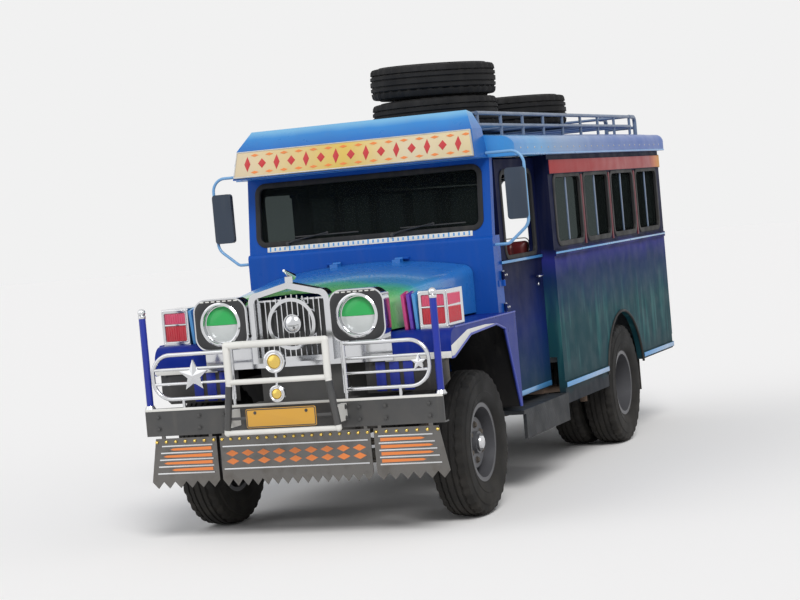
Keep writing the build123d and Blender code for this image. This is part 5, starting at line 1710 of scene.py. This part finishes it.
@dataclass
class Pad:
    """One cushion section: its box and how it swells."""

    size: Point
    voxel: float = 0.01
    cap: float = 0.016
    pressure: float = 4.0
    inset: float = 0.012
    frames: int = 20

    def shrunk(self) -> bmesh.types.BMesh:
        """A rounded box a little smaller than the section."""
        part = bmesh.new()
        matrix = Matrix.Diagonal((*(s - 2 * self.inset for s in self.size), 1.0))
        bmesh.ops.create_cube(part, size=1.0, matrix=matrix)
        soften(part, min(0.02, 0.3 * min(self.size)), 3)
        return part

    def build(self) -> bpy.types.Mesh:
        """Swell the section by a short cloth simulation.

        Returns:
            The finished mesh, centred on the origin.
        """
        part = self.shrunk()
        mesh = bpy.data.meshes.new("pad")
        part.to_mesh(mesh)
        part.free()
        holder = link("pad", mesh)
        remesh = holder.modifiers.new("remesh", "REMESH")
        remesh.mode = "VOXEL"
        remesh.voxel_size = self.voxel
        holder.data = self.baked(holder)
        rest = [v.co.copy() for v in holder.data.vertices]
        self.swell(holder)
        half = [s / 2 - 0.001 for s in self.size]
        for vert, home in zip(holder.data.vertices, rest):
            swollen = vert.co - home
            if swollen.length > self.cap:
                swollen = swollen.normalized() * self.cap
            vert.co = [max(-limit, min(limit, value)) for value, limit in zip(home + swollen, half)]
        mesh = holder.data
        bpy.data.objects.remove(holder)
        return mesh

    def swell(self, holder: bpy.types.Object) -> None:
        """Blow the section up from inside like a cloth bag."""
        cloth = holder.modifiers.new("cloth", "CLOTH")
        cloth.settings.use_pressure = True
        cloth.settings.uniform_pressure_force = self.pressure
        cloth.settings.effector_weights.gravity = 0.0
        cloth.settings.quality = 4
        cloth.point_cache.frame_start = 1
        cloth.point_cache.frame_end = self.frames
        for frame in range(1, self.frames + 1):
            bpy.context.scene.frame_set(frame)
        holder.data = self.baked(holder)
        bpy.context.scene.frame_set(1)

    def baked(self, holder: bpy.types.Object) -> bpy.types.Mesh:
        """The object's mesh with its modifiers applied, which are then cleared."""
        graph = bpy.context.evaluated_depsgraph_get()
        mesh = bpy.data.meshes.new_from_object(holder.evaluated_get(graph))
        holder.modifiers.clear()
        return mesh


@dataclass
class Cushions:
    """A row of equal sewn sections in a box, with piping round each sitting face.

    The row runs along one axis, and the sitting face looks along another. Levels are those of the
    subdivision after the simulation.
    """

    name: str
    low: Point
    high: Point
    along: Axis
    face: Axis
    count: int
    node: str
    levels: int = 0
    fill: float = 0.75
    channel_pitch: float = 0.11
    channel_half: float = 0.007
    channel_depth: float = 0.0065
    welt_r: float = 0.0034
    welt_inset: float = 0.014

    def build(self) -> None:
        """Fill the box."""
        axis = self.along.value
        low, high = Vector(self.low), Vector(self.high)
        size = high - low
        size[axis] /= self.count
        mesh = Pad(tuple(size), voxel=0.012 if self.levels else 0.009).build()
        shape, piping = Shape(), Shape()
        for i in range(self.count):
            centre = (low + high) / 2
            centre[axis] = low[axis] + (i + 0.5) * size[axis]
            part = bmesh.new()
            part.from_mesh(mesh)
            self.channels(part, size)
            bmesh.ops.translate(part, verts=part.verts, vec=centre)
            shape.take(part)
            piping.pipe(self.welt(centre, size), self.welt_r, cyclic=True, sides=2)
        bpy.data.meshes.remove(mesh)
        made = shape.piece(self.name, VINYL, sharp=70.0)
        if self.levels:
            smooth = made.modifiers.new("smooth", "SUBSURF")
            smooth.levels = smooth.render_levels = self.levels
        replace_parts(made, self.node)
        piping.piece(f"{self.name}_piping", PIPING)

    def channels(self, part: bmesh.types.BMesh, size: Vector) -> None:
        """Press shallow sewn channels into the sitting face, across its length."""
        along, face = self.along.value, self.face.value
        count = round(size[along] / self.channel_pitch)
        normal = Vector([float(i == along) for i in range(3)])
        seams = [(i / count - 0.5) * size[along] for i in range(1, count)]
        for seam in seams:
            for shift in (-1.6, -0.8, 0.0, 0.8, 1.6):
                plane = {"plane_co": normal * (seam + shift * self.channel_half), "plane_no": normal}
                bmesh.ops.bisect_plane(part, geom=everything(part), dist=1e-5, **plane)
        half = size[face] / 2
        for vert in part.verts:
            gap = min(abs(vert.co[along] - seam) for seam in seams)
            share = min(1.0, max(0.0, abs(vert.co[face]) / half - 0.35) / 0.3)
            depth = share * self.channel_depth * math.exp(-((gap / self.channel_half) ** 2))
            vert.co[face] *= 1 - depth / half

    def welt(self, centre: Vector, size: Vector) -> list[Point]:
        """The line of the piping round the rim of one section's sitting face."""
        face = self.face.value
        across, up = (i for i in range(3) if i != face)
        toward = {Axis.X: -1 if centre.x > 0 else 1, Axis.Y: -1, Axis.Z: 1}[self.face]
        reach = size[face] / 2 - (0.016 if self.face is Axis.Z else 0.014)
        corner = min(0.03, 0.3 * size[up])
        points = []
        for u, v in rounded(size[across] - self.welt_inset, size[up] - self.welt_inset, corner, 4):
            point = centre.copy()
            point[across] += u
            point[up] += v
            point[face] += toward * reach
            points.append(tuple(point))
        return points


@dataclass
class Seats:
    """The front seat and the long side benches."""

    front_sections: int = 3
    bench_sections: int = 4
    front_split: float = 0.38
    front_thick: float = 0.12
    pad_xs: Flat = (0.432, 0.825)
    pad_thick: float = 0.075
    back_xs: Flat = (0.785, 0.829)

    def build(self) -> None:
        """Make all cushions."""
        low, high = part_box("front_seat")
        split = low.y + self.front_split
        front = {"along": Axis.X, "count": self.front_sections, "node": "front_seat", "levels": 1}
        base_high, back_low = (high.x, split, low.z + self.front_thick), (low.x, split + 0.004, low.z)
        Cushions("front_base", tuple(low), base_high, face=Axis.Z, **front).build()
        Cushions("front_back", back_low, tuple(high), face=Axis.Y, **front).build()
        low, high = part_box("benches")
        bench = {"along": Axis.Y, "count": self.bench_sections, "node": "benches"}
        for side, name in SIDES:
            pad = flank(side, self.pad_xs, (low.y, high.y), (low.z, low.z + self.pad_thick))
            Cushions(f"bench_pads_{name}", *pad, face=Axis.Z, **bench).build()
            rest = flank(side, self.back_xs, (low.y, high.y), (low.z + 0.08, high.z))
            Cushions(f"bench_backs_{name}", *rest, face=Axis.X, **bench).build()


@dataclass
class Tail:
    """Mud flaps behind the rear wheels."""

    xs: Flat = (0.43, 0.826)
    ys: Flat = (1.565, 1.573)
    zs: Flat = (0.3, 0.69)

    def build(self) -> None:
        """Hang a bolted flap behind each pair of wheels."""
        flaps = Shape()
        for side, _ in SIDES:
            flaps.slab(side, self.xs, self.ys, self.zs, 0.003)
            for x in spread(self.xs[0] + 0.06, self.xs[1] - 0.06, 3):
                flaps.bolt(facing_rear(side * x, self.ys[1], 0.66))
        flaps.piece("mud_flaps", SEAL)


def main() -> None:
    """Build everything in order."""
    logging.basicConfig(level=logging.INFO, format="%(message)s")
    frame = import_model()
    make_grime()
    make_grain()
    Studio().build()
    FramePaint(frame).build()
    for assembly in (Tyres, Wheels, Glazing, Signs, Lamps, FrontTrim, BodyTrim, Cabin, Seats, Tail):
        assembly().build()


if __name__ == "__main__":
    main()
